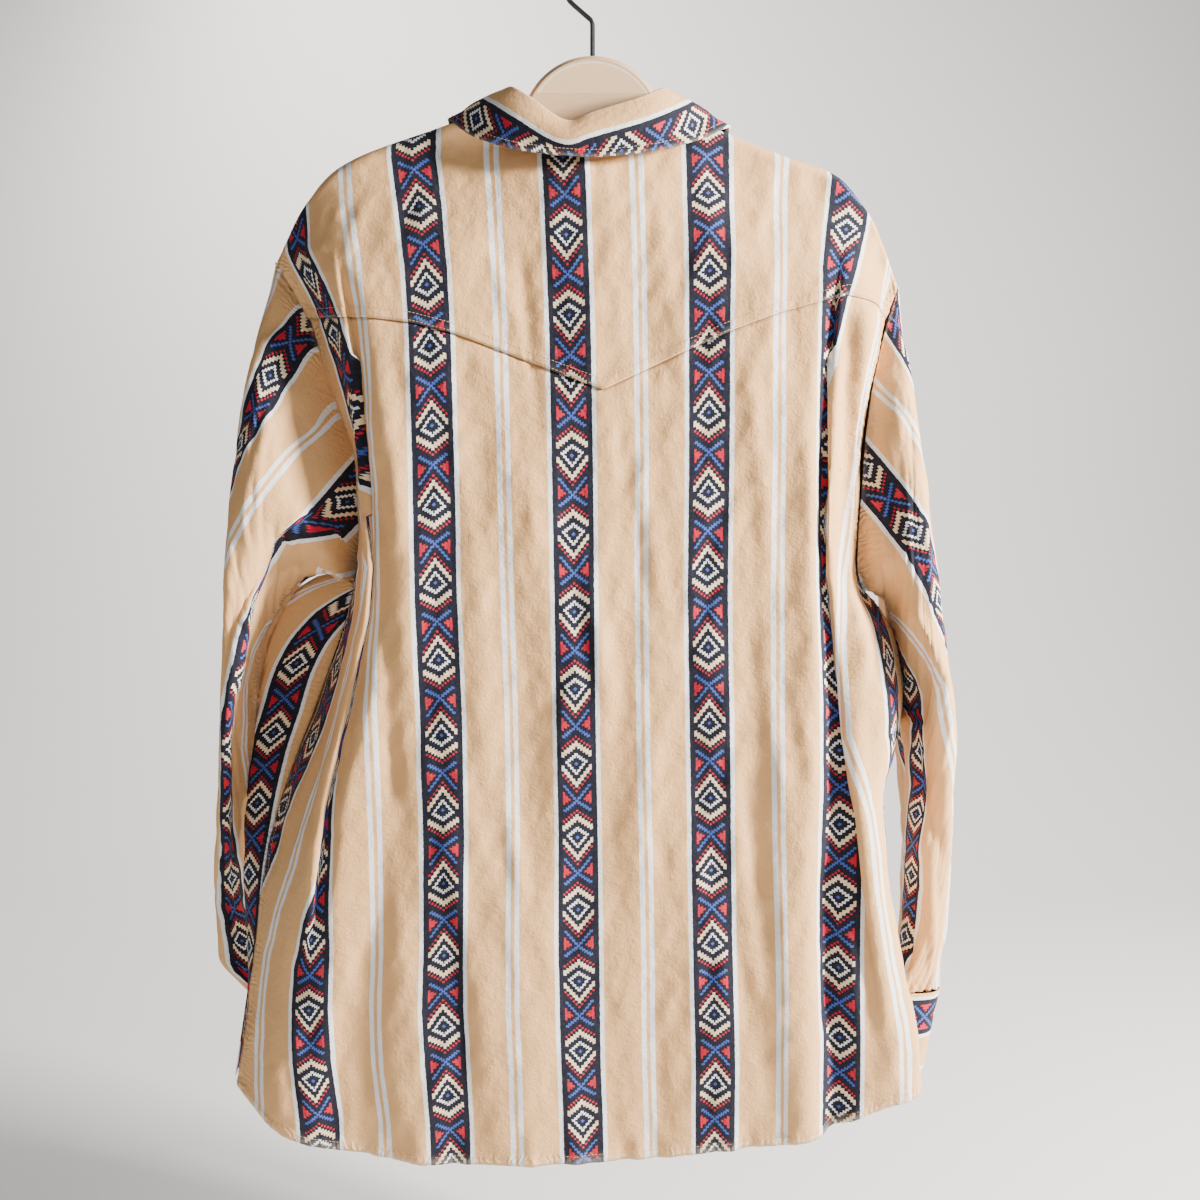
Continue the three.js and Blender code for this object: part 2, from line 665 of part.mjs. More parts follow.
// Collar: a stand from the neckline up to the fold, and a leaf that turns over it and falls outward
const collarRow = reader(COLLAR, 'angle');
const COLLAR_END = 172;
const FOLD_INSET = { x: 0.96, y: 0.93 };
const FOLD_DROP = 3;
function neckPoint(angle) {
  const radians = THREE.MathUtils.degToRad(angle);
  const x = NECK_HALF * Math.sin(radians);
  const side = x < 0 ? 'left' : 'right';
  const face = Math.abs(angle) <= 90 ? 'back' : 'front';
  const z = face === 'back' ? backNeckZ(x) : frontNeckZ(x);
  const shoulder = shoulderAt[side](Math.abs(x));
  const flat = middleAt(z);
  const below = Math.max(shoulder.z - z, 0);
  const hang = ease(below / DRAPE);
  const round = 1 - Math.min(below / FOLD_RADIUS, 1);
  const over = FOLD_RADIUS * Math.sqrt(1 - round * round) * (1 - hang);
  const y = (face === 'back' ? -1 : 1) * (over + hang * Math.abs(face === 'back' ? flat.back : flat.front));
  return new THREE.Vector3(x, y, z);
}
function standPoint(u, v) {
  const angle = lerp(-COLLAR_END, COLLAR_END, u);
  const row = collarRow(angle);
  const neck = neckPoint(angle);
  const inset = Math.abs(angle) > 90 ? STAND_INSET : 1;
  neck.x *= inset;
  neck.y *= inset;
  neck.z += STAND_LIFT;
  const fold = new THREE.Vector3(row.foldX * FOLD_INSET.x, row.foldY * FOLD_INSET.y, row.foldZ - FOLD_DROP);
  return neck.lerp(fold, v);
}
add('collar_stand', offsetWall(38, 2, standPoint, STAND_WALL, false), printed);

const LEAF_CLEAR = 2.5;
const LEAF_ROLL = 5;
function leafPoint(u, v) {
  const row = collarRow(lerp(-COLLAR_END, COLLAR_END, u));
  const fold = new THREE.Vector3(row.foldX, row.foldY, row.foldZ);
  const drop = new THREE.Vector3(row.dropX, row.dropY, row.dropZ);
  const away = new THREE.Vector3(fold.x, fold.y * 2, 0);
  const out = new THREE.Vector3(drop.x - fold.x, drop.y - fold.y, 0).addScaledVector(away, 0.3).normalize();
  const roll = LEAF_ROLL * Math.sin(Math.PI * Math.min(v * 1.3, 1));
  return fold.lerp(drop, v).addScaledVector(out, LEAF_CLEAR + roll);
}
add('collar', offsetWall(38, 4, leafPoint, STAND_WALL, false), printed);

// The hanger: a half disc above two sloping arms, cut from one board with eased edges
function hangerOutline() {
  const outline = new THREE.Shape();
  const dip = (x) => HANGER_DIP * ease((DIP_END - x) / DIP_OVER);
  const top = (side, x) => shoulderAt[side](x).z - HANGER_CLEAR - HANGER_EDGE - dip(x);
  const centre = DISC_TOP_Z - DISC_RADIUS;
  const radius = DISC_RADIUS - HANGER_EDGE;
  const start = Math.asin((DISC_BASE_Z - centre - HANGER_LIP) / radius);
  outline.absarc(0, centre, radius, start, Math.PI - start, false);
  const reach = { left: ARM_REACH.left - HANGER_EDGE, right: ARM_REACH.right - HANGER_EDGE };
  const under = (side, x) => top(side, x) - ARM_DEPTH;
  for (const x of [...ARM_STATIONS, reach.left]) outline.lineTo(-x, top('left', x));
  outline.lineTo(-reach.left, top('left', reach.left) - ARM_DEPTH / 2);
  outline.lineTo(-ARM_TURN, under('left', ARM_TURN));
  outline.quadraticCurveTo(-ARM_BELLY, BELLY_Z, 0, BELLY_Z);
  outline.quadraticCurveTo(ARM_BELLY, BELLY_Z - HANGER_DIP, ARM_TURN, under('right', ARM_TURN));
  outline.lineTo(reach.right, top('right', reach.right) - ARM_DEPTH / 2);
  for (const x of [...ARM_STATIONS, reach.right].reverse()) outline.lineTo(x, top('right', x));
  outline.closePath();
  return outline;
}
const board = new THREE.ExtrudeGeometry(hangerOutline(), {
  depth: HANGER_THICKNESS - 2 * HANGER_EDGE,
  bevelThickness: HANGER_EDGE,
  bevelSize: HANGER_EDGE,
  bevelSegments: 1,
  curveSegments: 14,
});
board.rotateX(Math.PI / 2);
board.translate(0, HANGER_THICKNESS / 2 - HANGER_EDGE, 0);
add('hanger', board, wood);

// The hook: a wire that leaves the board, bends and turns over the top to a round tip
class HookLine extends THREE.Curve {
  getPoint(t, target = new THREE.Vector3()) {
    const stem = HOOK_BEND_Z - DISC_TOP_Z - SEAM;
    const bend = THREE.MathUtils.degToRad(40);
    const start = THREE.MathUtils.degToRad(230);
    const end = THREE.MathUtils.degToRad(-25);
    const centreZ = WIRE / 2 - HOOK_RADIUS;
    const rampX = HOOK_RADIUS * Math.cos(start);
    const rampZ = centreZ + HOOK_RADIUS * Math.sin(start);
    const ramp = Math.abs(rampX) / Math.cos(bend);
    const arc = HOOK_RADIUS * (start - end);
    const place = t * (stem + ramp + arc);
    if (place < stem) return target.set(0, 0, DISC_TOP_Z + SEAM + place);
    if (place < stem + ramp) {
      const part = (place - stem) / ramp;
      return target.set(rampX * part, 0, lerp(HOOK_BEND_Z, rampZ, part));
    }
    const angle = start - (place - stem - ramp) / HOOK_RADIUS;
    return target.set(HOOK_RADIUS * Math.cos(angle), 0, centreZ + HOOK_RADIUS * Math.sin(angle));
  }
}
const wireSection = new THREE.Shape();
wireSection.absarc(0, 0, WIRE / 2, 0, 2 * Math.PI, false);
add('hook', new THREE.ExtrudeGeometry(wireSection, {
  steps: 42,
  curveSegments: 4,
  extrudePath: new HookLine(),
}), steel);

// Snaps: pearl caps along the placket, on the stand and on the cuffs
function snapCap() {
  const profile = [[0, 0], [SNAP_RADIUS, 0], [SNAP_RADIUS, 1.2], [SNAP_RADIUS * 0.7, 2.4], [0, 2.8]];
  return new THREE.LatheGeometry(profile.map(([x, y]) => new THREE.Vector2(x, y)), 10);
}
for (let k = 0; k < FRONT_SNAPS; k += 1) {
  const z = FRONT_NECK_Z - FIRST_SNAP - k * SNAP_PITCH;
  const middle = bodyPoint('left', 'front', frontS('left', 1, z), z);
  const mesh = add(`snap_front_${k + 1}`, snapCap(), pearl);
  mesh.position.set(leanAt(z), middle.y + placketTop + 2 * SEAM, z);
}
const CUFF_SNAP_AT = [0.3, 0.72];
for (const side of ['left', 'right']) {
  const cuff = CUFFS[side];
  for (let k = 0; k < CUFF_SNAP_AT.length; k += 1) {
    const mesh = add(`snap_cuff_${side}_${k + 1}`, snapCap(), pearl);
    const x = (cuff.outer[0] + cuff.inner[0]) / 2;
    mesh.position.set(x, cuff.far + CUFF_RAISE + SEAM, lerp(cuff.top, cuff.bottom, CUFF_SNAP_AT[k]));
  }
}

export default shirt;
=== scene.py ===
# A western snap shirt on a wooden hanger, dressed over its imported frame. Sizes are millimetres until a
# mesh is made: short tables, the solids' own or close to them, give the cloth its form on a finer grid.

import math

import bpy
import numpy as np
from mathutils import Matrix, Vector


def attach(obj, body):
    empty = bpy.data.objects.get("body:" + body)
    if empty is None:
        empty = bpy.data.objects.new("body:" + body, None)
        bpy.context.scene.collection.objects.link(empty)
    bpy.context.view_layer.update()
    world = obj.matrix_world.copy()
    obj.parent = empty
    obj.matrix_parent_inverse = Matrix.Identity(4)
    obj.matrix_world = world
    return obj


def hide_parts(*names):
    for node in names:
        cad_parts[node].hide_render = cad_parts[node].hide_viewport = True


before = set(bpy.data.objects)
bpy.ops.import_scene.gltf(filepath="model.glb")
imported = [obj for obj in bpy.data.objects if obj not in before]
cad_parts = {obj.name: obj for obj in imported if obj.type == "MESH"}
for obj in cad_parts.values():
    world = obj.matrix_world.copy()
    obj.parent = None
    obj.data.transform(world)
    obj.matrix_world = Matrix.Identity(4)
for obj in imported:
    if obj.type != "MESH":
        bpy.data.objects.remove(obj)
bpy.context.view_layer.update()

MM = 0.001
CLOTH = 0.8
FINE = 3.2
COARSE = 6.0

# Driving dimensions, most of them as in the solids
SEAM = 0.3
FOLD_RADIUS = 10
DRAPE = 110
LEAN_TOP = -200
LEAN = 11 / 700
RIDGE_ROUND = 24
SIDE_ROUND = 18
CHEST_ROUND = 60
BULGE_AT = 0.75
CHEST_AT = 0.75
NECK_HALF = 78
NECK_MARGIN = 20
BACK_NECK_Z = -160
FRONT_NECK_Z = -205
SIDE_NECK_Z = -119
PLACKET_WIDTH = 34
PLACKET_RAISE = 0.7
PLACKET_FOLD = 3.2
PLACKET_STITCH = 5
YOKE_POINT = 6
YOKE_END_Z = -281
NOMINAL_Z = -600
ARMPIT = {"left": -500, "right": -505}
HAND = {"left": -1, "right": 1}


def table(names, rows):
    return {name: np.array([row[k] for row in rows], float) for k, name in enumerate(names.split())}


MIDDLE = table("z back front", [
    (-200, -38, 30), (-300, -43, 40), (-450, -44, 50), (-650, -38, 58), (-850, -30, 54), (-990, -22, 38),
])

# The sides' level sections. Below the armpits the cloth stands out further than the solids do
SIDES = {
    "left": table("z ridge edge edgeY gap bulge", [
        (-236, -214, -257, 12, 0, 0), (-281, -188, -233, 14, 20, 0), (-346, -180, -212, 16, 24, 0),
        (-402, -178, -194, 18, 26, 0), (-450, -178, -194, 24, 22, 0), (-482, -179, -198, 34, 11, 6),
        (-493, -180, -202, 38, 4, 42), (-502, -181, -205, 42, 0, 56), (-511, -182, -207, 43, 0, 64),
        (-530, -185, -213, 46, 0, 72), (-550, -189, -220, 48, 0, 74), (-570, -193, -228, 50, 0, 72),
        (-617, -203, -246, 51, 0, 62), (-650, -211, -259, 48, 0, 54), (-705, -223, -277, 40, 0, 40),
        (-757, -230, -287, 30, 0, 30), (-813, -234, -293, 20, 0, 18), (-867, -239, -300, 12, 0, 6),
        (-926, -243, -307, 4, 0, 5), (-990, -246, -312, 0, 0, 5),
    ]),
    "right": table("z ridge edge edgeY gap bulge", [
        (-257, 222, 246, 2, 0, 0), (-300, 215, 232, -12, 34, 0), (-343, 210, 222, -20, 52, 0),
        (-400, 206, 216, -22, 58, 0), (-450, 206, 215, -14, 46, 0), (-482, 208, 217, -2, 24, 0),
        (-505, 212, 226, 12, 0, 0), (-520, 218, 239, 18, 0, 4), (-535, 225, 248, 20, 0, 8),
        (-560, 233, 258, 26, 0, 6), (-605, 242, 264, 30, 0, 4), (-640, 240, 258, 32, 0, 6),
        (-678, 234, 248, 32, 0, 6), (-741, 242, 249, 30, 0, 8), (-810, 253, 260, 24, 0, 6),
        (-880, 268, 275, 16, 0, 5), (-925, 271, 280, 12, 0, 5), (-990, 274, 284, 10, 0, 5),
    ]),
}
SHOULDERS = {
    "left": table("x z y", [
        (0, -94, 0), (78, -119, 0), (130, -136, 0), (200, -163, 1), (234, -197, 6), (257, -236, 12),
    ]),
    "right": table("x z y", [
        (0, -102, 0), (78, -127, 0), (146, -153, 0), (190, -169, 0), (221, -201, 1), (246, -257, 2),
    ]),
}
YOKE_SEAM = table("s z", [
    (-254, -281), (-176, -288), (-142, -292), (-109, -301), (6, -344), (72, -314), (109, -298), (146, -284),
    (195, -270), (215, -273), (252, -284),
])
HEM = table("s z", [
    (-312, -922), (-228, -966), (-112, -986), (-5, -985), (80, -975), (146, -963), (200, -938), (292, -924),
])
FRONT_YOKE = table("t z", [(0, -292), (0.42, -322), (1, -268)])
FRONT_HEM_Z = -984
HEM_END = {"left": -312, "right": 292}

# Soft folds of the body, a line from (s0, z0) to (s1, z1): the solids' nine first, then finer ones
SOLID_FOLDS = 9
BODY_FOLDS = table("s0 z0 s1 z1 width height", [
    (200, -215, 190, -620, 12, -11), (-150, -560, -205, -900, 22, -6), (60, -640, 40, -985, 26, -5),
    (-70, -700, -64, -985, 24, 5), (150, -560, 166, -940, 24, 5), (-390, -420, -420, -900, 26, 9),
    (-470, -560, -480, -960, 24, -8), (400, -420, 430, -940, 26, 8), (500, -380, 470, -900, 24, -7),
    (-60, -205, -48, -335, 5, -1.6), (-84, -230, -58, -300, 8, 1.2), (-100, -300, -84, -430, 9, -1.3),
    (-160, -330, -150, -560, 12, 2.2), (-172, -430, -168, -640, 7, -2.0), (-98, -430, -90, -610, 11, 1.4),
    (25, -215, 44, -330, 10, -1.2), (58, -240, 70, -330, 8, 1.0), (128, -210, 134, -420, 14, 1.6),
    (40, -420, 10, -640, 12, -1.6), (60, -450, 38, -700, 16, 1.8), (120, -470, 128, -760, 12, -1.8),
    (168, -330, 170, -640, 14, 2.6), (186, -350, 190, -600, 8, 2.4), (-28, -540, -44, -800, 14, 1.6),
    (-140, -640, -120, -900, 16, -2.2), (-105, -760, -92, -985, 12, 2.0), (-176, -760, -160, -975, 15, 2.6),
    (96, -760, 104, -985, 14, 2.2), (0, -820, 6, -985, 16, -1.8), (176, -700, 190, -950, 13, -2.4),
    (-30, -880, -24, -990, 9, 1.2), (142, -850, 150, -970, 9, -1.6), (220, -620, 236, -900, 12, 3.0),
    (-215, -830, -232, -960, 10, -3.0), (-262, -700, -275, -940, 12, 3.0), (228, -300, 226, -480, 7, 2.2),
])

SLEEVES = {
    "left": table("crownX crownZ underX underZ near far", [
        (-257, -236, -205, -502, 0, 44), (-262, -256, -209, -499, -14, 54),
        (-270, -280, -215, -495, -22, 64), (-279, -315, -227, -491, -28, 74),
        (-286, -352, -241, -494, -30, 82), (-293, -403, -257, -508, -30, 90),
        (-299, -463, -270, -528, -28, 96), (-303, -520, -281, -548, -24, 100),
        (-308, -570, -290, -574, -16, 104), (-319, -641, -301, -645, 4, 112),
        (-334, -736, -311, -736, 32, 116), (-342, -794, -313, -794, 52, 116),
        (-343, -842, -304, -842, 60, 112), (-327, -866, -280, -866, 63, 108),
        (-312, -880, -250, -880, 64, 104),
    ]),
    "right": table("crownX crownZ underX underZ near far", [
        (246, -257, 222, -505, -20, 40), (249, -278, 226, -504, -30, 56), (253, -302, 231, -505, -36, 66),
        (257, -335, 238, -508, -38, 74), (262, -375, 244, -514, -40, 80), (270, -425, 250, -525, -40, 88),
        (278, -480, 256, -545, -38, 96), (286, -535, 262, -570, -34, 102), (294, -583, 268, -600, -24, 108),
        (308, -659, 276, -662, 8, 112), (317, -726, 282, -728, 30, 114), (322, -775, 284, -775, 50, 114),
        (322, -813, 284, -813, 58, 110), (317, -848, 280, -848, 62, 106), (316, -873, 262, -873, 64, 103),
    ]),
}
SLEEVE_FOLDS = {
    "left": table("turn0 down0 turn1 down1 width height", [
        (0.46, 0.08, 0.2, 0.62, 0.045, -9), (0.38, 0.04, 0.12, 0.6, 0.05, 5),
        (0.2, 0.6, 0.3, 0.95, 0.05, -5), (0.9, 0.25, 0.72, 0.8, 0.06, -7),
        (0.28, 0.02, 0.06, 0.42, 0.02, -2.2), (0.2, 0.0, 0.03, 0.3, 0.018, 1.6),
        (0.34, 0.5, 0.16, 0.86, 0.018, 2.4), (0.12, 0.5, 0.1, 0.8, 0.02, -2.0),
        (0.3, 0.7, 0.22, 0.98, 0.014, -2.0), (0.62, 0.1, 0.84, 0.6, 0.03, 3.0),
        (0.7, 0.5, 0.58, 0.95, 0.02, -2.4), (0.8, 0.02, 0.95, 0.4, 0.02, -2.2),
    ]),
    "right": table("turn0 down0 turn1 down1 width height", [
        (0.46, 0.3, 0.1, 0.66, 0.05, 9), (0.5, 0.44, 0.2, 0.78, 0.06, -9), (0.3, 0.05, 0.24, 0.4, 0.05, -4),
        (0.9, 0.25, 0.72, 0.8, 0.06, -7), (0.2, 0.06, 0.1, 0.42, 0.022, 2.4),
        (0.38, 0.1, 0.3, 0.36, 0.02, 2.0), (0.3, 0.72, 0.2, 0.97, 0.02, 3.2),
        (0.38, 0.7, 0.34, 0.95, 0.014, -2.4), (0.12, 0.66, 0.1, 0.96, 0.014, -2.2),
        (0.62, 0.1, 0.84, 0.6, 0.03, 3.0), (0.7, 0.5, 0.58, 0.95, 0.02, -2.4),
        (0.8, 0.02, 0.95, 0.4, 0.02, -2.2),
    ]),
}
SLEEVE_SQUARENESS = 2.5
SLEEVE_BLEND = 3
ARMHOLE_EASE = 1.2
SLIT = {"turn0": 0.66, "turn1": 0.75, "down0": 0.78, "down1": 0.995, "raise": 0.9}
CUFFS = {
    "left": {
        "outer": (-310, -303), "inner": (-250, -245), "near": 64, "far": 104, "top": -881.8, "bottom": -957,
    },
    "right": {
        "outer": (316, 301), "inner": (262, 250), "near": 64, "far": 103, "top": -874.4, "bottom": -953,
    },
}
CUFF_LAP = 27
CUFF_RAISE = 2.5
CUFF_START = 0.12
CUFF_LIFT_FROM = 0.66
CUFF_LIFT_OVER = 0.17

COLLAR = table("angle foldX foldY foldZ dropX dropY dropZ", [
    (-172, -6, 39, -170, -40, 50, -250), (-150, -32, 36, -152, -78, 40, -212),
    (-120, -56, 24, -119, -104, 22, -160), (-103, -64, 12, -108, -113, 18, -141),
    (-90, -66, 0, -104, -113, -2, -127), (-60, -60, -21, -108, -92, -24, -146),
    (-35, -44, -33, -121, -58, -36, -160), (-12, -16, -37, -139, -18, -39, -166),
    (0, -3, -38, -134, -2, -39, -167), (30, 36, -34, -120, 44, -37, -162),
    (60, 54, -21, -109, 82, -25, -149), (90, 58, 0, -106, 108, -2, -133),
    (103, 56, 12, -110, 107, 15, -147), (120, 50, 24, -122, 100, 22, -164),
    (150, 30, 36, -152, 76, 40, -212), (172, 6, 39, -170, 40, 50, -250),
])
COLLAR_END = 172
STAND_INSET = 0.93
STAND_LIFT = 2
FOLD_INSET = (0.96, 0.93)
FOLD_DROP = 3
LEAF_CLEAR = 2.5
LEAF_ROLL = 5

# The cloth's print: dark bands on a wide repeat, with a pair of white lines half-way between them
REPEAT = 110
BAND_AT = -20
MOTIF = 61.5
CELL = 2.26
MOTIF_COLUMNS = 5.5
CREAM_RING = (6.5, 8.5)
DOT_RING = (9.5, 10.5)
DOT_SIZE = 0.185
DIAMOND_STEPS = 4
CROSS_ARM = 5.5
NAVY_HALF = 16.4
EDGE_LINE = 19.8
PAIR_LINE = REPEAT / 2 - 3.5
PAIR_HALF = 2.0

# How far each band's motif stands above the middle band's, by the cloth's distance from the centre back
BAND_SHIFT = table("u rise", [
    (-460, 20), (-350, 8), (-240, -27), (-130, 24), (-20, 0), (90, 34), (200, 8), (310, 20), (420, -10),
])
MOTIF_Z = {"yoke": -225, "body": -395}

# Folds that swallow cloth: the line of each one's outer edge, and the width of print that it hides
SIDE_PLEATS = {
    "left": table("z x hidden", [
        (-816, -239, 0), (-774, -228, 12), (-736, -223, 28), (-678, -216, 44), (-638, -206, 62),
        (-581, -192, 78), (-524, -175, 95), (-481, -171, 104), (-447, -174, 80), (-423, -177, 68),
        (-408, -178, 55), (-395, -180, 46), (-375, -182, 38), (-345, -184, 33), (-320, -185, 30),
        (-284, -190, 20), (-257, -195, 10), (-230, -200, 0),
    ]),
    "right": table("z x hidden", [
        (-892, 240, 0), (-858, 238, 3), (-815, 231, 11), (-745, 219, 23), (-685, 212, 29), (-665, 208, 35),
        (-620, 201, 50), (-540, 191, 55), (-492, 186, 52), (-443, 185, 44), (-371, 186, 33),
        (-323, 186, 25), (-275, 190, 13), (-250, 194, 5), (-215, 200, 0),
    ]),
}
PLEAT_FULL = 25
PLEAT_LAP = 5
PLEAT_DEEP = 6
PLEAT_HIGH = 3.5
BACK_COLUMNS = 187
CREASE_T = {"left": 22.5 / 186, "right": 163.5 / 186}

# How far the print has drifted from the form's own measure, by height, at eight lines across the back
DRIFT_AT = (-185, -148, -75, -20, 35, 90, 145, 182)
DRIFT = {
    -160: (12, 13, 4, 3, 1, 0, -5, -8),
    -200: (8, 6, 1, 1, 0, 0, -3, -3),
    -250: (0, 0, -1, 0, -1, 0, -1, 6),
    -300: (-4, -2, -2, -1, -1, 1, 1, 8),
    -400: (-7, -2, -3, -1, -1, 2, 1, 8),
    -500: (-6, -1, -3, -1, 1, 4, 3, 8),
    -600: (0, -2, -4, 0, 1, 3, 3, 7),
    -700: (0, -1, -3, 0, 0, 2, 2, 6),
    -800: (2, 2, 0, 1, -1, 1, -1, 6),
    -850: (6, 5, 1, 1, -1, 0, -2, 5),
    -900: (6, 4, 0, 1, -1, -1, -2, 4),
    -950: (2, 2, 0, 0, -2, 0, -2, 4),
}

# A sleeve's print at its outer outline, how far its stripes slant outwards on their way down, and how much
# cloth turns away from view at the outline
SLEEVE_PRINT = {
    "left": table("z edge slant roll", [
        (-960, 84, 0, 8), (-800, 82, 2, 8), (-700, 80, 5, 8), (-607, 75, 12, 8), (-558, 70, 22, 8),
        (-524, 61, 26, 10), (-505, 52, 28, 12), (-450, 20, 32, 24), (-392, -9, 32, 25), (-373, -22, 32, 25),
        (-306, -44, 32, 25), (-281, -57, 32, 25), (-236, -80, 32, 25),
    ]),
    "right": table("z edge slant roll", [
        (-960, 172, 0, 12), (-800, 168, 0, 12), (-700, 163, 4, 12), (-640, 152, 14, 12),
        (-588, 138, 26, 12), (-548, 120, 28, 12), (-490, 97, 28, 12), (-470, 85, 28, 18),
        (-446, 67, 28, 24), (-422, 53, 28, 25), (-384, 32, 27, 25), (-363, 20, 25, 25), (-340, 5, 24, 25),
        (-300, -12, 20, 25), (-257, -20, 18, 25),
    ]),
}

# A crease across each sleeve's near side, outer end last: below it the left one laps and the right one sinks
SLEEVE_CREASE = {
    "left": table("x z hidden", [
        (190, -430, 0), (219, -435, 4), (255, -460, 40), (274, -508, 44), (285, -548, 40), (299, -601, 34),
        (310, -680, 22), (319, -760, 8), (323, -850, 0),
    ]),
    "right": table("x z hidden", [
        (205, -511, 0), (220, -542, 24), (247, -583, 34), (276, -618, 30), (284, -655, 22), (286, -700, 14),
        (288, -800, 0),
    ]),
}

# The height and the reach of the cloth above and below each crease
CREASE_STEP = {"left": (-3, 3), "right": (2, -6)}
CREASE_REACH = {"left": (18, 30), "right": (18, 70)}

# Below this height a sleeve's print is measured round it, from the turn that makes its outline
INNER_FROM = -510
OUTLINE_TURN = 0.12


def curve(rows, key):
    """A smooth curve through a table's rows that never overshoots them."""
    order = np.argsort(rows[key])
    x = rows[key][order]

    def read(name, at):
        y = rows[name][order]
        secant = np.diff(y) / np.diff(x)
        before = np.r_[secant[0], secant]
        after = np.r_[secant, secant[-1]]
        product = before * after
        total = np.where(product <= 0, 1, before + after)
        slope = np.where(product <= 0, 0, 2 * product / total)
        at = np.clip(at, x[0], x[-1])
        k = np.clip(np.searchsorted(x, at) - 1, 0, len(x) - 2)
        span = x[k + 1] - x[k]
        t = (at - x[k]) / span
        a = y[k]
        b = y[k + 1]
        rise = slope[k] * span
        fall = slope[k + 1] * span
        return a + t * (rise + t * (3 * (b - a) - 2 * rise - fall + t * (2 * (a - b) + rise + fall)))

    return read


def lerp(a, b, t):
    return a + (b - a) * t


def ease(t):
    x = np.clip(t, 0, 1)
    return x * x * (3 - 2 * x)


def hill(value, at, width):
    return np.exp(-(((value - at) / width) ** 2))


def grid(rows, columns, power=1):
    """Fractions down and across a grid, its rows closer at the top for a higher power."""
    return np.meshgrid(np.linspace(0, 1, rows) ** power, np.linspace(0, 1, columns), indexing="ij")


def between(values, row, column):
    """A grid's values at fractional rows and columns."""
    r = row.astype(int)
    c = column.astype(int)
    a = (row - r)[..., None]
    b = (column - c)[..., None]
    low = lerp(values[r, c], values[r, c + 1], b)
    high = lerp(values[r + 1, c], values[r + 1, c + 1], b)
    return lerp(low, high, a)


middle_at = curve(MIDDLE, "z")
side_at = {side: curve(SIDES[side], "z") for side in SIDES}
shoulder_at = {side: curve(SHOULDERS[side], "x") for side in SHOULDERS}
hem_at = curve(HEM, "s")
SLEEVE_TOP = {side: SIDES[side]["z"].max() for side in SIDES}


def lean_at(z):
    return LEAN * np.maximum(LEAN_TOP - z, 0)


def yoke_seam_z(s):
    return np.interp(s, YOKE_SEAM["s"], YOKE_SEAM["z"])


# The body's level sections, kept for every few millimetres of height as points evenly spread along them
SECTION_STEP = 2.5
SECTION_POINTS = 161
LEVELS = np.arange(-1000, -80 + SECTION_STEP, SECTION_STEP)


def rounded_path(corners):
    points = [corners[0][:2]]
    for k in range(1, len(corners) - 1):
        here = np.array(corners[k][:2])
        last = np.array(corners[k - 1][:2])
        following = np.array(corners[k + 1][:2])
        before = math.dist(here, last)
        after = math.dist(here, following)
        turn = min(corners[k][2], before / 2, after / 2)
        if turn > 0.01:
            start = lerp(here, last, turn / before)
            end = lerp(here, following, turn / after)
            for t in np.linspace(0, 1, 13):
                points.append(tuple((1 - t) ** 2 * start + 2 * t * (1 - t) * here + t * t * end))
    points.append(corners[-1][:2])
    points = np.array(points, float)
    length = np.r_[0, np.cumsum(np.hypot(*np.diff(points, axis=0).T))]
    at = np.linspace(0, length[-1], SECTION_POINTS)
    return np.stack([np.interp(at, length, points[:, k]) for k in range(2)], -1), length[-1]


def body_sections(side):
    found = {"back": [], "front": [], "back_length": [], "front_length": []}
    for z in LEVELS:
        row = {name: float(side_at[side](name, min(z, SLEEVE_TOP[side]))) for name in SIDES[side]}
        back = float(middle_at("back", z))
        front = float(middle_at("front", z))
        centre = float(lean_at(z))
        gap_y = row["edgeY"] + row["gap"]
        corners = {
            "back": [(centre, back), (row["ridge"], back + 3, RIDGE_ROUND), (row["edge"], row["edgeY"])],
            "front": [
                (row["edge"], gap_y),
                (row["edge"] + HAND[side] * row["bulge"], lerp(gap_y, front, BULGE_AT), SIDE_ROUND),
                (row["edge"] * CHEST_AT, front, CHEST_ROUND),
                (centre, front + 2),
            ],
        }
        for part in ("back", "front"):
            path, length = rounded_path(corners[part])
            found[part].append(path)
            found[f"{part}_length"].append(length)
    return {name: np.array(value) for name, value in found.items()}


sections = {side: body_sections(side) for side in SIDES}


def section_length(side, part, z):
    return np.interp(z, LEVELS, sections[side][f"{part}_length"])


def section_point(side, part, distance, z):
    row = np.clip((z - LEVELS[0]) / SECTION_STEP, 0, len(LEVELS) - 1.001)
    column = np.clip(distance / section_length(side, part, z), 0, 1) * (SECTION_POINTS - 1.001)
    return between(sections[side][part], row, column)


def shoulder(name, x):
    """The shoulder line's height or depth above a place across the shirt."""
    return np.where(x < 0, shoulder_at["left"](name, np.abs(x)), shoulder_at["right"](name, np.abs(x)))


def neck_z(x, behind):
    share = np.minimum(np.abs(x) / NECK_HALF, 1)
    back = lerp(BACK_NECK_Z, SIDE_NECK_Z, share ** 2.2)
    return np.where(behind, back, lerp(FRONT_NECK_Z, SIDE_NECK_Z, share ** 2))


def over_shoulder(top, z):
    """Below the shoulder line: how freely the cloth hangs, from 0 to 1, and how far it rolls outwards."""
    below = np.maximum(top - z, 0)
    hang = ease(below / DRAPE)
    roll = 1 - np.minimum(below / FOLD_RADIUS, 1)
    return hang, FOLD_RADIUS * np.sqrt(1 - roll * roll) * (1 - hang)


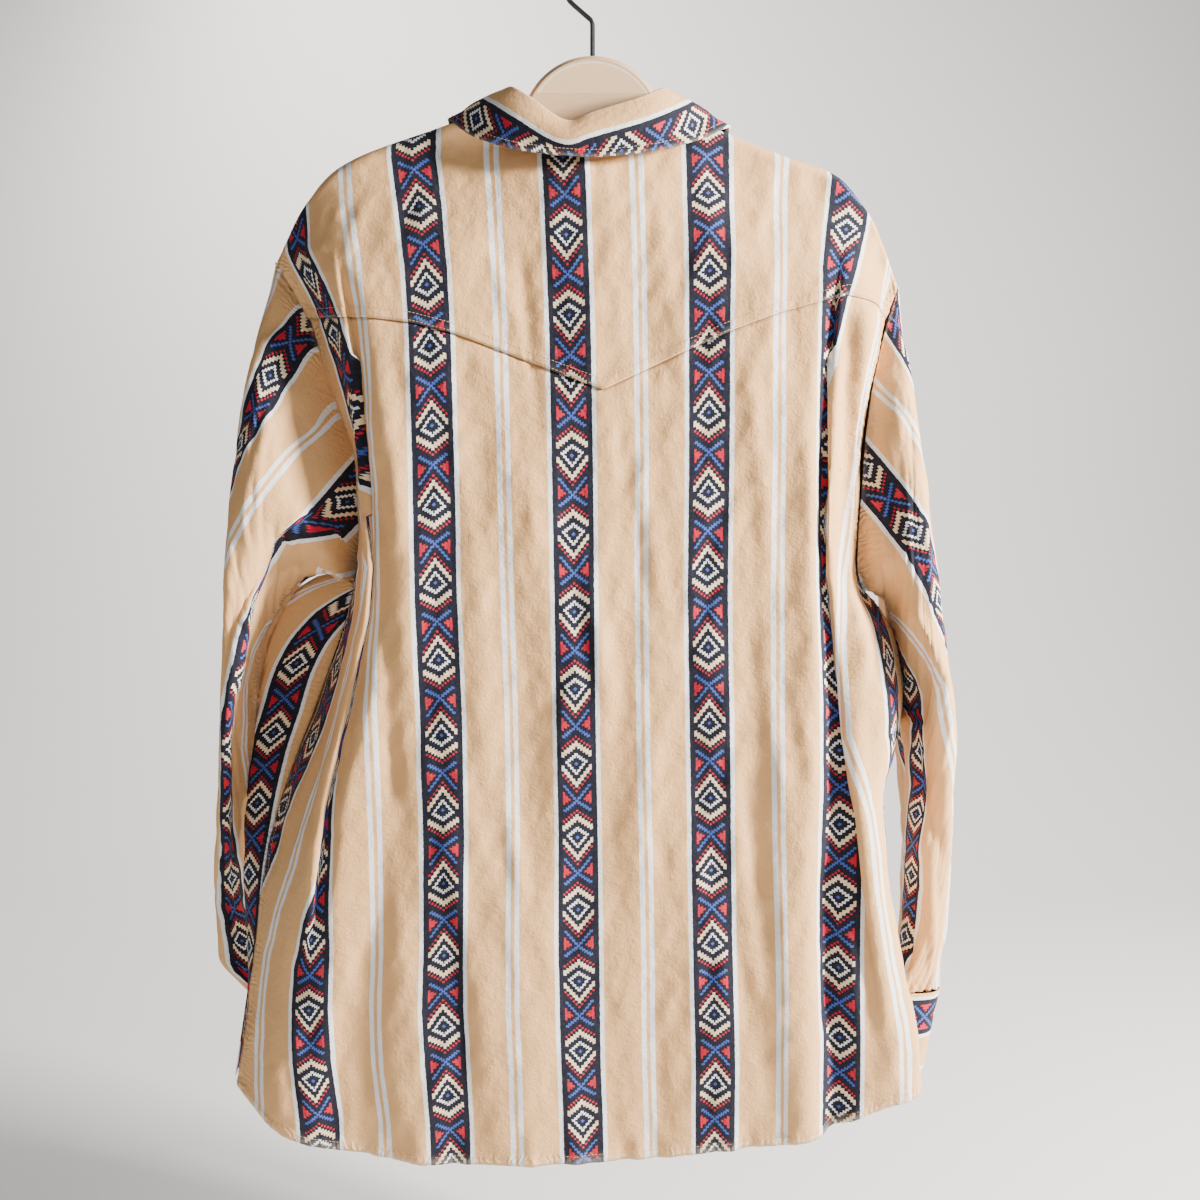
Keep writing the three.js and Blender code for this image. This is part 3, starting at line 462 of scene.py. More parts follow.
def body_points(side, face, s, z):
    """The cloth's outer face: s runs from the centre back round to the centre front."""
    back_length = section_length(side, "back", z)
    behind = np.where(z > ARMPIT[side], face == "back", s <= back_length)
    flat = np.where(
        behind[..., None],
        section_point(side, "back", s, z),
        section_point(side, "front", np.maximum(s - back_length, 0), z),
    )
    x = flat[..., 0]
    outward = -1 if face == "back" else 1
    hang, over = over_shoulder(shoulder_at[side]("z", np.abs(x)), z)
    y = lerp(shoulder_at[side]("y", np.abs(x)), flat[..., 1], hang) + outward * over
    for k in range(len(BODY_FOLDS["s0"])):
        s0, z0, s1, z1, width, height = (BODY_FOLDS[name][k] for name in BODY_FOLDS)
        t = (z0 - z) / (z0 - z1)
        off = (HAND[side] * s - lerp(s0, s1, np.minimum(t, 1))) / width
        fade = 1 if k < SOLID_FOLDS else ease((1.25 - t) * 3)
        rise = np.where(t > 0, ease(t * 4) * hill(off, 0, 1) * height * fade, 0)
        y += np.where(behind, -1, 1) * rise * ease((SLEEVE_TOP[side] + 30 - z) / 60)
    return np.stack([x, y, z], -1)


def clouds(u, v, seed):
    """Smooth random hills about one unit across, from -1 to 1, the same on every run."""
    size = 61
    lattice = np.random.RandomState(seed).uniform(-1, 1, (size, size))
    i = np.floor(u).astype(int)
    j = np.floor(v).astype(int)
    a = ease(u - i)
    b = ease(v - j)
    near, far = (lerp(lattice[i % size, k % size], lattice[(i + 1) % size, k % size], a) for k in (j, j + 1))
    return lerp(near, far, b)


def crumple(u, v, seed):
    """Washed cotton: broad dents, upright soft creases and a fine rumple, in millimetres."""
    broad = 3.2 * clouds(u / 55, v / 150, seed)
    upright = 2.3 * clouds((u + v * 0.12) / 13, v / 90, seed + 1)
    slanting = 0.9 * clouds((u - v * 0.35) / 12, v / 34, seed + 2)
    fine = 0.4 * clouds(u / 6.5, v / 9, seed + 3)
    return broad + upright * (0.5 + 0.5 * clouds(u / 90, v / 90, seed + 4)) + slanting + fine


def ripple(u, v, seed):
    """Soft uneven cloth: slow waves that never repeat within the piece."""
    total = np.zeros_like(u)
    for k in range(7):
        turn = seed * 1.7 + k * 2.399
        wave = 2 * math.pi / (19 + 11 * ((k * 3 + seed) % 7))
        drift = 1.6 * np.sin(k + seed + v / 170)
        total += np.sin(wave * (u * math.cos(turn) + 0.6 * v * math.sin(turn)) + drift)
    return total / 7


def pucker(distance, along, pitch, depth, reach):
    """Short cross ridges beside a seam, where its thread draws the cloth in."""
    uneven = np.sin(along / 31) + 0.7 * np.sin(along / 13.7 + 1)
    wave = np.sin(2 * math.pi * along / pitch + 1.6 * uneven)
    return depth * (0.75 + 0.3 * uneven) * wave * hill(distance, 0, reach)


def normals_of(points, closed):
    if closed:
        wide = np.concatenate([points[:, -2:-1], points, points[:, 1:2]], 1)
        across = wide[:, 2:] - wide[:, :-2]
    else:
        across = np.gradient(points, axis=1)
    down = np.gradient(points, axis=0)
    normal = np.cross(across, down)
    return normal / np.maximum(np.linalg.norm(normal, axis=-1, keepdims=True), 1e-9)


def displace(points, height, hand, closed=False):
    return points + hand * normals_of(points, closed) * height[..., None]


def link(mesh, name, material):
    piece = bpy.data.objects.new(name, mesh)
    bpy.context.collection.objects.link(piece)
    mesh.materials.append(material)
    mesh.polygons.foreach_set("use_smooth", [True] * len(mesh.polygons))
    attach(piece, "root")
    return piece


def rim(p, q, count):
    return np.stack([p, q, q + count, p + count], -1)


def cloth_piece(name, points, print_uv, hand, closed=False, wall=CLOTH, slot="cloth", **marks):
    """A thin closed shell on a grid of points. A closed grid's last column repeats its first. The marks are
    grids of wear, of cross ridges by an upright seam (drawn) and of those by a level one (gathered)."""
    rows, columns = points.shape[:2]
    inner = points - hand * wall * normals_of(points, closed)
    width = columns - 1 if closed else columns
    vertices = np.concatenate([points[:, :width].reshape(-1, 3), inner[:, :width].reshape(-1, 3)]) * MM
    count = rows * width
    r, c = np.meshgrid(np.arange(rows - 1), np.arange(columns - 1), indexing="ij")
    a = (r * width + c).ravel()
    b = (r * width + (c + 1) % width).ravel()
    outer = np.stack([a, b, b + width, a + width], -1)
    lining = np.stack([a, a + width, b + width, b], -1) + count
    edge = np.arange(columns - 1)
    following = (edge + 1) % width
    last_row = (rows - 1) * width
    rims = [rim(following, edge, count), rim(last_row + edge, last_row + following, count)]
    if not closed:
        step = np.arange(rows - 1) * width
        rims += [rim(step, step + width, count), rim(step + 2 * width - 1, step + width - 1, count)]
    faces = np.concatenate([outer, lining, *rims])
    normal = np.cross(points[1, 0] - points[0, 0], points[0, 1] - points[0, 0])
    outward = hand * normals_of(points, closed)[0, 0]
    if np.dot(normal, outward) > 0:
        faces = faces[:, ::-1]
    mesh = bpy.data.meshes.new(name)
    mesh.from_pydata(vertices.tolist(), [], faces.tolist())
    loops = np.empty(len(mesh.loops), int)
    mesh.loops.foreach_get("vertex_index", loops)
    grid_uv = print_uv * MM
    full = np.concatenate([grid_uv[:, :width].reshape(-1, 2)] * 2)
    uv = full[loops]
    if closed:
        corners = uv.reshape(-1, 4, 2)
        quads = loops.reshape(-1, 4)
        last = (quads % width == 0) & ((quads % width).max(1) == width - 1)[:, None]
        seam = np.concatenate([grid_uv[:, -1]] * 2)
        corners[last] = seam[(quads // width)[last]]
        uv = corners.reshape(-1, 2)
    mesh.uv_layers.new(name="print").data.foreach_set("uv", uv.ravel())
    for mark in ("wear", "drawn", "gathered"):
        values = marks.get(mark, np.zeros((rows, columns)))
        layer = mesh.attributes.new(mark, "FLOAT", "POINT")
        layer.data.foreach_set("value", np.concatenate([values[:, :width].ravel()] * 2).astype(np.float32))
    return link(mesh, name, CLOTH_MATERIAL)


# Materials: a small maker of node arithmetic, then each surface's own function
def math_node(kind):
    """A method that joins its values in one Math node of this kind."""
    return lambda self, *others: self.operate(kind, *others)


class Value:
    """A shader value that plain arithmetic turns into Math nodes."""

    def __init__(self, tree, source):
        self.tree = tree
        self.source = source

    def operate(self, kind, *others):
        node = self.tree.nodes.new("ShaderNodeMath")
        node.operation = kind
        for socket, value in zip(node.inputs, (self, *others)):
            if isinstance(value, Value):
                self.tree.links.new(value.source, socket)
            else:
                socket.default_value = value
        return Value(self.tree, node.outputs[0])

    __add__ = math_node("ADD")
    __sub__ = math_node("SUBTRACT")
    __mul__ = math_node("MULTIPLY")
    __truediv__ = math_node("DIVIDE")
    __lt__ = math_node("LESS_THAN")
    __gt__ = math_node("GREATER_THAN")
    __abs__ = math_node("ABSOLUTE")
    __round__ = math_node("ROUND")
    wrap = math_node("FLOORED_MODULO")
    sine = math_node("SINE")
    root = math_node("SQRT")


def colour(red, green, blue):
    """An sRGB colour of 0 to 255 as the renderer's linear one."""
    shares = (red / 255, green / 255, blue / 255)
    return (*(((share + 0.055) / 1.055) ** 2.4 for share in shares), 1)


TAN = colour(228, 177, 120)
NAVY = colour(20, 22, 38)
WHITE = colour(236, 236, 236)
CREAM = colour(240, 214, 176)
BLUE = colour(62, 88, 168)
RED = colour(190, 26, 52)
FADED = colour(232, 218, 200)
DRAWN_PITCH = 5.2
GATHERED_PITCH = 6.1


def new_material(name, **settings):
    """A material, its node tree, its shader with the given settings, and the place on the object."""
    material = bpy.data.materials.new(name)
    material.use_nodes = True
    tree = material.node_tree
    shader = tree.nodes["Principled BSDF"]
    for setting, value in settings.items():
        shader.inputs[setting.replace("_", " ")].default_value = value
    return material, tree, shader, tree.nodes.new("ShaderNodeTexCoord").outputs["Object"]


def parts_of(tree, vector):
    split = tree.nodes.new("ShaderNodeSeparateXYZ")
    tree.links.new(vector, split.inputs[0])
    return [Value(tree, output) for output in split.outputs]


def mixed(tree, factor, first, second, blend="MIX"):
    node = tree.nodes.new("ShaderNodeMix")
    node.data_type = "RGBA"
    node.blend_type = blend
    for socket, value in ((node.inputs[0], factor), (node.inputs[6], first), (node.inputs[7], second)):
        if isinstance(value, Value):
            tree.links.new(value.source, socket)
        elif hasattr(value, "links"):
            tree.links.new(value, socket)
        else:
            socket.default_value = value
    return node.outputs[2]


def noise(tree, vector, scale, detail=2.0, rough=0.5):
    node = tree.nodes.new("ShaderNodeTexNoise")
    node.inputs["Scale"].default_value = scale
    node.inputs["Detail"].default_value = detail
    node.inputs["Roughness"].default_value = rough
    tree.links.new(vector, node.inputs["Vector"])
    return Value(tree, node.outputs["Fac"])


def bump(tree, height, strength, distance, after=None):
    node = tree.nodes.new("ShaderNodeBump")
    node.inputs["Strength"].default_value = strength
    node.inputs["Distance"].default_value = distance
    tree.links.new(height.source, node.inputs["Height"])
    if after is not None:
        tree.links.new(after, node.inputs["Normal"])
    return node.outputs["Normal"]


def print_colour(tree, u, v):
    """The printed cloth on a small cell: bands with a stepped diamond, then a cross, on dark ground."""
    across = abs((u - (BAND_AT - REPEAT / 2)).wrap(REPEAT) - REPEAT / 2)
    down = abs((v + MOTIF / 2).wrap(MOTIF) - MOTIF / 2)
    from_cross = (down * -1) + MOTIF / 2
    navy = across < NAVY_HALF
    lines = (across < EDGE_LINE) - navy + (abs(across - PAIR_LINE) < PAIR_HALF)
    column = across / CELL
    row = down / CELL
    i = round(column)
    j = round(row)
    total = i + j
    inside = i < MOTIF_COLUMNS
    cream = (total > CREAM_RING[0]) * (total < CREAM_RING[1]) * inside
    dot = ((column - i) * (column - i) + (row - j) * (row - j)) < DOT_SIZE
    dots = (total > DOT_RING[0]) * (total < DOT_RING[1]) * inside * dot
    small = CELL * 0.86
    step = round(down / small)
    diamond = (abs(across / small - (step * -1 + DIAMOND_STEPS)) < 0.65) * (step < DIAMOND_STEPS + 0.5)
    centre = (column + row) < 0.75
    bar = CELL * 0.9
    arm = round(from_cross / bar)
    cross = (abs(across / bar - arm) < 0.66) * (arm < CROSS_ARM)
    rise = from_cross / CELL
    depth = (column > 3.3) * 0.85 + (column > 4.45) * 1.1 + 0.4
    wedge = (column > 2.4) * (column < 5.25) * (rise < depth)
    result = mixed(tree, navy, TAN, NAVY)
    result = mixed(tree, lines, result, WHITE)
    for mask, ink in ((cream, CREAM), (diamond, WHITE), (dots + wedge, RED), (cross + centre, BLUE)):
        result = mixed(tree, mask * navy, result, ink)
    return result, navy


def attribute(tree, name):
    node = tree.nodes.new("ShaderNodeAttribute")
    node.attribute_name = name
    return Value(tree, node.outputs["Fac"])


def cloth_material():
    material, tree, shader, body = new_material(
        "striped_cotton_twill", Roughness=0.86, Specular_IOR_Level=0.22, Sheen_Weight=0.05,
        Sheen_Roughness=0.55,
    )
    place = tree.nodes.new("ShaderNodeUVMap")
    place.uv_map = "print"
    place = place.outputs["UV"]
    across, down, _depth = parts_of(tree, place)
    wobble = (noise(tree, body, 260, 2) - 0.5) * 0.9
    u = across * 1000 + wobble
    v = down * 1000 + wobble
    ink, navy = print_colour(tree, u, v)
    wear, drawn, gathered = (attribute(tree, name) for name in ("wear", "drawn", "gathered"))
    mottle = noise(tree, body, 38, 4, 0.62)
    streaks = noise(tree, place, 420, 3, 0.7)
    shade = (mottle - 0.5) * 0.16 + (streaks - 0.5) * 0.2 + 1.0
    combine = tree.nodes.new("ShaderNodeCombineColor")
    for socket in combine.inputs:
        tree.links.new(shade.source, socket)
    ink = mixed(tree, 1.0, ink, combine.outputs[0], "MULTIPLY")
    faded = wear * 0.22 + navy * ((streaks - 0.42) * 0.05)
    tree.links.new(mixed(tree, faded, ink, FADED), shader.inputs["Base Color"])
    twill = (across * 5200 + down * 7800).sine()
    grain = bump(tree, twill, 0.3, 0.00014)
    nap = bump(tree, streaks, 0.6, 0.0006, grain)
    slub = bump(tree, noise(tree, body, 150, 4, 0.65), 0.6, 0.0016, nap)
    uneven = noise(tree, body, 60, 2) * 26
    patchy = noise(tree, body, 33, 2) * 2.4 - 0.7
    beside = (v * (2 * math.pi / DRAWN_PITCH) + uneven).sine() * drawn
    above = (u * (2 * math.pi / GATHERED_PITCH) + uneven).sine() * gathered
    tree.links.new(bump(tree, (beside + above) * patchy, 1.0, 0.0005, slub), shader.inputs["Normal"])
    return material


def mottled_material(name, light, dark, mottle, relief=None, **settings):
    """A plain surface between two colours, by a noise. Its relief is a noise, a strength and a depth."""
    material, tree, shader, body = new_material(name, **settings)
    tone = noise(tree, body, *mottle)
    tree.links.new(mixed(tree, tone, colour(*light), colour(*dark)), shader.inputs["Base Color"])
    if relief:
        scales, strength, depth = relief
        height = noise(tree, body, *scales) if scales else tone
        tree.links.new(bump(tree, height, strength, depth), shader.inputs["Normal"])
    return material


CLOTH_MATERIAL = cloth_material()
THREAD_MATERIAL = mottled_material("tan_thread", (186, 140, 94), (214, 176, 130), (900, 2),
                                   ((2600, 1), 0.4, 0.0001), Roughness=0.6)


def stitches(name, lines, pitch=3.1, length=2.2, width=0.46):
    """Rows of small thread beads. Each line is its points and normals, in millimetres."""
    ring = [(math.cos(a), math.sin(a)) for a in np.arange(6) * math.pi / 3]
    profile = ((-0.5, 0.35), (-0.3, 1.0), (0.3, 1.0), (0.5, 0.35))
    vertices = []
    faces = []
    for points, normal in lines:
        run = np.r_[0, np.cumsum(np.linalg.norm(np.diff(points, axis=0), axis=1))]
        for at in np.arange(pitch, run[-1] - pitch / 2, pitch):
            here, ahead, up = (
                np.array([np.interp(place, run, rows[:, k]) for k in range(3)])
                for place, rows in ((at, points), (at + 0.6, points), (at, normal))
            )
            along = ahead - here
            along /= max(np.linalg.norm(along), 1e-9)
            side = np.cross(along, up)
            side /= max(np.linalg.norm(side), 1e-9)
            up = np.cross(side, along)
            base = len(vertices)
            for place, size in profile:
                centre = here + along * place * length + up * (0.12 * size)
                for x, y in ring:
                    vertices.append((centre + (side * x + up * y * 0.8) * size * width / 2) * MM)
            for first in range(base, base + 18, 6):
                for m in range(6):
                    n = (m + 1) % 6
                    faces.append((first + m, first + n, first + 6 + n, first + 6 + m))
            faces.append(tuple(base + m for m in reversed(range(6))))
            faces.append(tuple(base + 18 + m for m in range(6)))
    mesh = bpy.data.meshes.new(name)
    mesh.from_pydata([tuple(v) for v in vertices], [], faces)
    return link(mesh, name, THREAD_MATERIAL)


def grid_line(points, hand, rows, columns, closed=False):
    """A stitch line across a grid, at fractional rows and columns: its points and normals."""
    r = np.clip(np.array(rows, float), 0, points.shape[0] - 1.001)
    c = np.clip(np.array(columns, float), 0, points.shape[1] - 1.001)
    return between(points, r, c), between(hand * normals_of(points, closed), r, c)


def where_reads(reading, wanted):
    order = np.argsort(reading)
    return np.interp(wanted, reading[order], np.arange(len(reading))[order])


def along_rows(points, hand, distances, wanted, columns):
    """The stitch line where a grid's distances take the wanted value, going across the columns."""
    return grid_line(points, hand, [where_reads(distances[:, column], wanted) for column in columns], columns)


def down_columns(points, hand, distances, wanted, rows, closed=False):
    """The same line, going down the rows."""
    return grid_line(points, hand, rows, [where_reads(distances[row], wanted) for row in rows], closed)


def measure(points):
    """Distances along each grid direction, from the first row and from the first column."""
    down = np.linalg.norm(np.diff(points, axis=0, prepend=points[:1]), axis=-1)
    across = np.linalg.norm(np.diff(points, axis=1, prepend=points[:, :1]), axis=-1)
    return np.cumsum(down, 0), np.cumsum(across, 1)


def crease_table(side):
    rows = SIDE_PLEATS[side]
    reach = np.linspace(0, 330, 1321)
    found = []
    for z, x in zip(rows["z"], rows["x"]):
        line = section_point(side, "back", reach, np.full_like(reach, z))[:, 0] * HAND[side]
        found.append(reach[np.argmin(np.abs(line - abs(x)))])
    return np.array(found)


CREASE_S = {side: crease_table(side) for side in SIDE_PLEATS}


def crease_s(side, z):
    return np.interp(z, SIDE_PLEATS[side]["z"], CREASE_S[side])


def pleat(side, s, z):
    """A fold lapped over its neighbour: the shift along the cloth, the height, and the print it hides."""
    hidden = np.interp(z, SIDE_PLEATS[side]["z"], SIDE_PLEATS[side]["hidden"])
    strength = np.clip(hidden / PLEAT_FULL, 0, 1)
    beyond = HAND[side] * s - crease_s(side, z)
    over = beyond >= 0
    past = np.maximum(beyond, 0)
    under_shift = PLEAT_LAP * ease((beyond + 10) / 10)
    over_shift = -1.5 * np.exp(-past / 4)
    under_height = -PLEAT_DEEP * ease((beyond + 16) / 16)
    over_height = PLEAT_HIGH * hill(beyond, 6, 10) - 1.6 * np.exp(-past / 1.6)
    shift = np.where(over, over_shift, under_shift) * strength * HAND[side]
    return shift, np.where(over, over_height, under_height) * strength, np.where(over, hidden, 0) * HAND[side]


def drift(s, z):
    levels = sorted(DRIFT)
    across = np.array([np.interp(s.ravel(), DRIFT_AT, DRIFT[level]) for level in levels])
    at = np.clip(z.ravel(), levels[0], levels[-1])
    k = np.clip(np.searchsorted(levels, at) - 1, 0, len(levels) - 2)
    low = np.array(levels)[k]
    high = np.array(levels)[k + 1]
    point = np.arange(len(at))
    return lerp(across[k, point], across[k + 1, point], (at - low) / (high - low)).reshape(s.shape)


def motif_uv(u, z, where):
    """The print's place: across as given, and down from the nearest band's own motif."""
    return np.stack([u, MOTIF_Z[where] - z + np.interp(u, BAND_SHIFT["u"], BAND_SHIFT["rise"])], -1)


def counts(width, length, pitch):
    return int(round(length / pitch)) + 1, int(round(width / pitch)) + 1


# Back and yoke, on one run of cloth from the left armhole to the right one
HEM_STITCH = 6.8
SIDE_STITCH = 7.5
YOKE_STITCH = 8.0


def back_s(t, z):
    left = section_length("left", "back", z) - SEAM
    right = section_length("right", "back", z) - SEAM
    crease_left = -np.minimum(crease_s("left", z), left - 12)
    crease_right = np.minimum(crease_s("right", z), right - 12)
    a = CREASE_T["left"]
    b = CREASE_T["right"]
    outer_left = lerp(-left, crease_left, t / a)
    inner_left = lerp(crease_left, YOKE_POINT, (t - a) / (0.5 - a))
    inner_right = lerp(YOKE_POINT, crease_right, (t - 0.5) / (b - 0.5))
    outer_right = lerp(crease_right, right, (t - b) / (1 - b))
    return np.select([t < a, t < 0.5, t < b], [outer_left, inner_left, inner_right], outer_right)


def both_sides(s, z, face):
    left = body_points("left", face, np.abs(s), z)
    right = body_points("right", face, np.abs(s), z)
    return np.where((s < 0)[..., None], left, right)


def back_cloth(s, z):
    """The back's points, the height of its creases over them, and its print's place across."""
    shift_left, high_left, hidden_left = pleat("left", s, z)
    shift_right, high_right, hidden_right = pleat("right", s, z)
    mine = s < 0
    placed = s + np.where(mine, shift_left, shift_right)
    points = both_sides(placed, z, "back")
    height = np.where(mine, high_left, high_right) + crumple(s, z, 11) * ease((-80 - z) / 60)
    u = placed + drift(placed, z) + np.where(mine, hidden_left, hidden_right)
    return points, height, u


def build_back():
    rows, columns = counts(590, 690, FINE)[0], BACK_COLUMNS
    v, t = grid(rows, columns)
    top = yoke_seam_z(back_s(t, YOKE_END_Z)) - SEAM
    hem = hem_at("z", back_s(t, NOMINAL_Z))
    z = lerp(top, hem, v)
    s = back_s(t, z)
    points, height, u = back_cloth(s, z)
    down, across = measure(points)
    from_hem = down[-1] - down
    sides = (across, across[:, -1:] - across)
    height -= 0.9 * hill(down, 0, 7)
    height += pucker(from_hem - 5, across, 9.5, 0.42, 8)
    height += 0.5 * ease((8 - from_hem) / 1.5)
    height -= 0.5 * hill(from_hem, 8.4, 1.3)
    for edge in sides:
        height += pucker(edge - 5, down, 7.5, 0.4, 8)
        height += 0.45 * ease((8.5 - edge) / 1.5) * ease(edge / 2)
        height -= 0.5 * hill(edge, 9.2, 1.3)
    points = displace(points, height, -1)
    wear = hill(from_hem, 0, 5) + 0.6 * sum(hill(edge, 0, 4) for edge in sides)
    drawn = sum(hill(edge, 4, 11) for edge in sides)
    gathered = 0.8 * hill(from_hem, 4, 5) + 0.15 * hill(down, 0, 9)
    piece = cloth_piece("back_panel", points, motif_uv(u, z, "body"), -1,
                        wear=wear, drawn=drawn, gathered=gathered)
    level = np.arange(0, columns, 2)
    upright = np.arange(0, rows - 4, 2)
    lines = [along_rows(points, -1, from_hem, HEM_STITCH, level)]
    lines += [down_columns(points, -1, edge, SIDE_STITCH, upright) for edge in sides]
    return piece, lines


def build_yoke_back():
    rows, columns = counts(520, 215, FINE)[0], BACK_COLUMNS
    v, t = grid(rows, columns, 1.15)
    top_z = {side: np.full_like(t, SLEEVE_TOP[side]) for side in SLEEVE_TOP}
    reach = np.abs(back_s(t, top_z["left"]))
    tops = {side: section_point(side, "back", reach, top_z[side])[..., 0] for side in top_z}
    at = np.where(t < 0.5, tops["left"], tops["right"])
    edge = shoulder("z", at)
    top = np.where(np.abs(at) < NECK_HALF, np.minimum(neck_z(at, True), edge), edge)
    z = lerp(top, yoke_seam_z(back_s(t, YOKE_END_Z)), v)
    s = back_s(t, z)
    points, height, u = back_cloth(s, z)
    limit = shoulder("y", points[..., 0]) - SEAM / 2
    hold = (points[..., 1] > limit) & (v < 0.5) & (np.abs(points[..., 0]) > NECK_HALF - NECK_MARGIN)
    points[..., 1] = np.where(hold, limit, points[..., 1])
    down, across = measure(points)
    from_seam = down[-1] - down
    settle = ease(down / 20)
    height = height * settle + 0.5 * hill(from_seam, 4, 5)
    height -= 0.3 * hill(from_seam, 1.6, 0.9) + 0.3 * hill(from_seam, 8, 0.9)
    height += pucker(from_seam - 4, across, 8.5, 0.16, 6)
    sides = (across, across[:, -1:] - across)
    for edge in sides:
        height += pucker(edge - 5, down, 7.5, 0.35, 8) * settle
        height -= 0.45 * hill(edge, 9.2, 1.3) * settle
    points = displace(points, height, -1)
    wear = 0.5 * hill(from_seam, 0, 2.5)
    drawn = sum(hill(edge, 4, 10) for edge in sides)
    gathered = 0.15 * hill(from_seam, 4, 7)
    piece = cloth_piece("back_yoke", points, motif_uv(u, z, "yoke"), -1,
                        wear=wear, drawn=drawn, gathered=gathered)
    level = np.arange(0, columns, 2)
    upright = np.arange(4, rows, 2)
    lines = [along_rows(points, -1, from_seam, wanted, level) for wanted in (1.6, YOKE_STITCH)]
    lines += [down_columns(points, -1, edge, SIDE_STITCH, upright) for edge in sides]
    return piece, lines


# Fronts: columns run from the side to the front edge, and the left front laps over the right
LAP_START = 0.6
FRONT_LAP = {"left": PLACKET_WIDTH / 2, "right": -PLACKET_WIDTH / 2}
LAP_DEPTH = {"left": 0, "right": PLACKET_FOLD}


def front_grid(side, t, top, bottom, v):
    z = lerp(top, bottom, v)
    back_length = section_length(side, "back", z)
    s = lerp(back_length + SEAM, back_length + section_length(side, "front", z), t)
    points = body_points(side, "front", s, z)
    near = ease((2 * PLACKET_WIDTH - np.abs(points[..., 0] - lean_at(z))) / PLACKET_WIDTH)
    points[..., 0] += FRONT_LAP[side] * ease((t - LAP_START) / (1 - LAP_START))
    points[..., 1] -= LAP_DEPTH[side] * near
    return points, s, z


def front_hem_z(side, t):
    return lerp(hem_at("z", HEM_END[side]), FRONT_HEM_Z, ease(t * 1.5))


def front_shoulder_z(side, t):
    level = np.full_like(t, SLEEVE_TOP[side])
    length = section_length(side, "front", level)
    x = section_point(side, "front", length * t, level)[..., 0]
    x = np.abs(x + FRONT_LAP[side] * ease((t - LAP_START) / (1 - LAP_START)))
    edge = shoulder_at[side]("z", x)
    return np.where(x < NECK_HALF, np.minimum(neck_z(x, False), edge), edge)


def front_u(side, t, z):
    """The print's place on a front: its stripes run down straight beside the placket."""
    return BAND_AT + HAND[side] * (1 - t) * section_length(side, "front", z)


def build_front(side):
    rows, columns = counts(330, 660, COARSE)
    v, t = grid(rows, columns)
    yoke_z = np.interp(t, FRONT_YOKE["t"], FRONT_YOKE["z"])
    points, s, z = front_grid(side, t, yoke_z - SEAM, front_hem_z(side, t), v)
    down, across = measure(points)
    from_hem = down[-1] - down
    height = 0.6 * ripple(s, z, 5) * ease((330 - np.abs(s - 330)) / 60)
    height += 0.5 * ease((9 - from_hem) / 3) + pucker(from_hem - 5, across, 14, 0.3, 9)
    points = displace(points, height, 1)
    gathered = 0.8 * hill(from_hem, 4, 5)
    drawn = hill(across, 4, 11)
    panel = cloth_piece(f"front_panel_{side}", points, motif_uv(front_u(side, t, z), z, "body"), 1,
                        drawn=drawn, gathered=gathered)
    lines = [along_rows(points, 1, from_hem, HEM_STITCH, np.arange(0, columns))]
    rows, columns = counts(330, 190, COARSE * 0.8)
    v, t = grid(rows, columns, 1.6)
    yoke_z = np.interp(t, FRONT_YOKE["t"], FRONT_YOKE["z"])
    points, _s, z = front_grid(side, t, front_shoulder_z(side, t), yoke_z, v)
    limit = shoulder("y", points[..., 0]) + SEAM / 2
    points[..., 1] = np.where((points[..., 1] < limit) & (v < 0.5), limit, points[..., 1])
    down, _across = measure(points)
    from_seam = down[-1] - down
    points = displace(points, 0.45 * hill(from_seam, 4, 5) * ease(down / 20), 1)
    yoke = cloth_piece(f"front_yoke_{side}", points, motif_uv(front_u(side, t, z), z, "yoke"), 1)
    level = np.arange(0, columns)
    lines += [along_rows(points, 1, from_seam, wanted, level) for wanted in (1.8, YOKE_STITCH)]
    return panel, yoke, lines


def build_placket():
    rows = 190
    v, t = grid(rows, 13)
    z = lerp(FRONT_NECK_Z - 2, front_hem_z("left", np.ones_like(v)), v)
    back_length = section_length("left", "back", z)
    middle = body_points("left", "front", back_length + section_length("left", "front", z), z)
    y = middle[..., 1] + PLACKET_RAISE + 1.5 + 0.25 * np.sin(z / 17) * np.sin(z / 41)
    margin = PLACKET_WIDTH * np.minimum(t, 1 - t)
    y -= 0.35 * hill(margin, PLACKET_STITCH, 1.2)
    from_middle = PLACKET_WIDTH * (t - 0.5)
    points = np.stack([lean_at(z) + from_middle, y, z], -1)
    uv = np.stack([BAND_AT + from_middle, -z], -1)
    piece = cloth_piece("front_placket", points, uv, 1, wall=1.2)
    _down, across = measure(points)
    edges = (PLACKET_STITCH, PLACKET_WIDTH - PLACKET_STITCH)
    return piece, [down_columns(points, 1, across, wanted, np.arange(0, rows, 2)) for wanted in edges]


# Sleeves
def rounded(value):
    return np.sign(value) * np.abs(value) ** (2 / SLEEVE_SQUARENESS)


def sleeve_section(row, turn):
    angle = 2 * math.pi * turn
    c = rounded(np.cos(angle))
    s = rounded(np.sin(angle))
    return np.stack([
        (row["crownX"] + row["underX"]) / 2 + (row["crownX"] - row["underX"]) / 2 * c,
        (row["near"] + row["far"]) / 2 - (row["far"] - row["near"]) / 2 * s,
        (row["crownZ"] + row["underZ"]) / 2 + (row["crownZ"] - row["underZ"]) / 2 * c,
    ], -1)


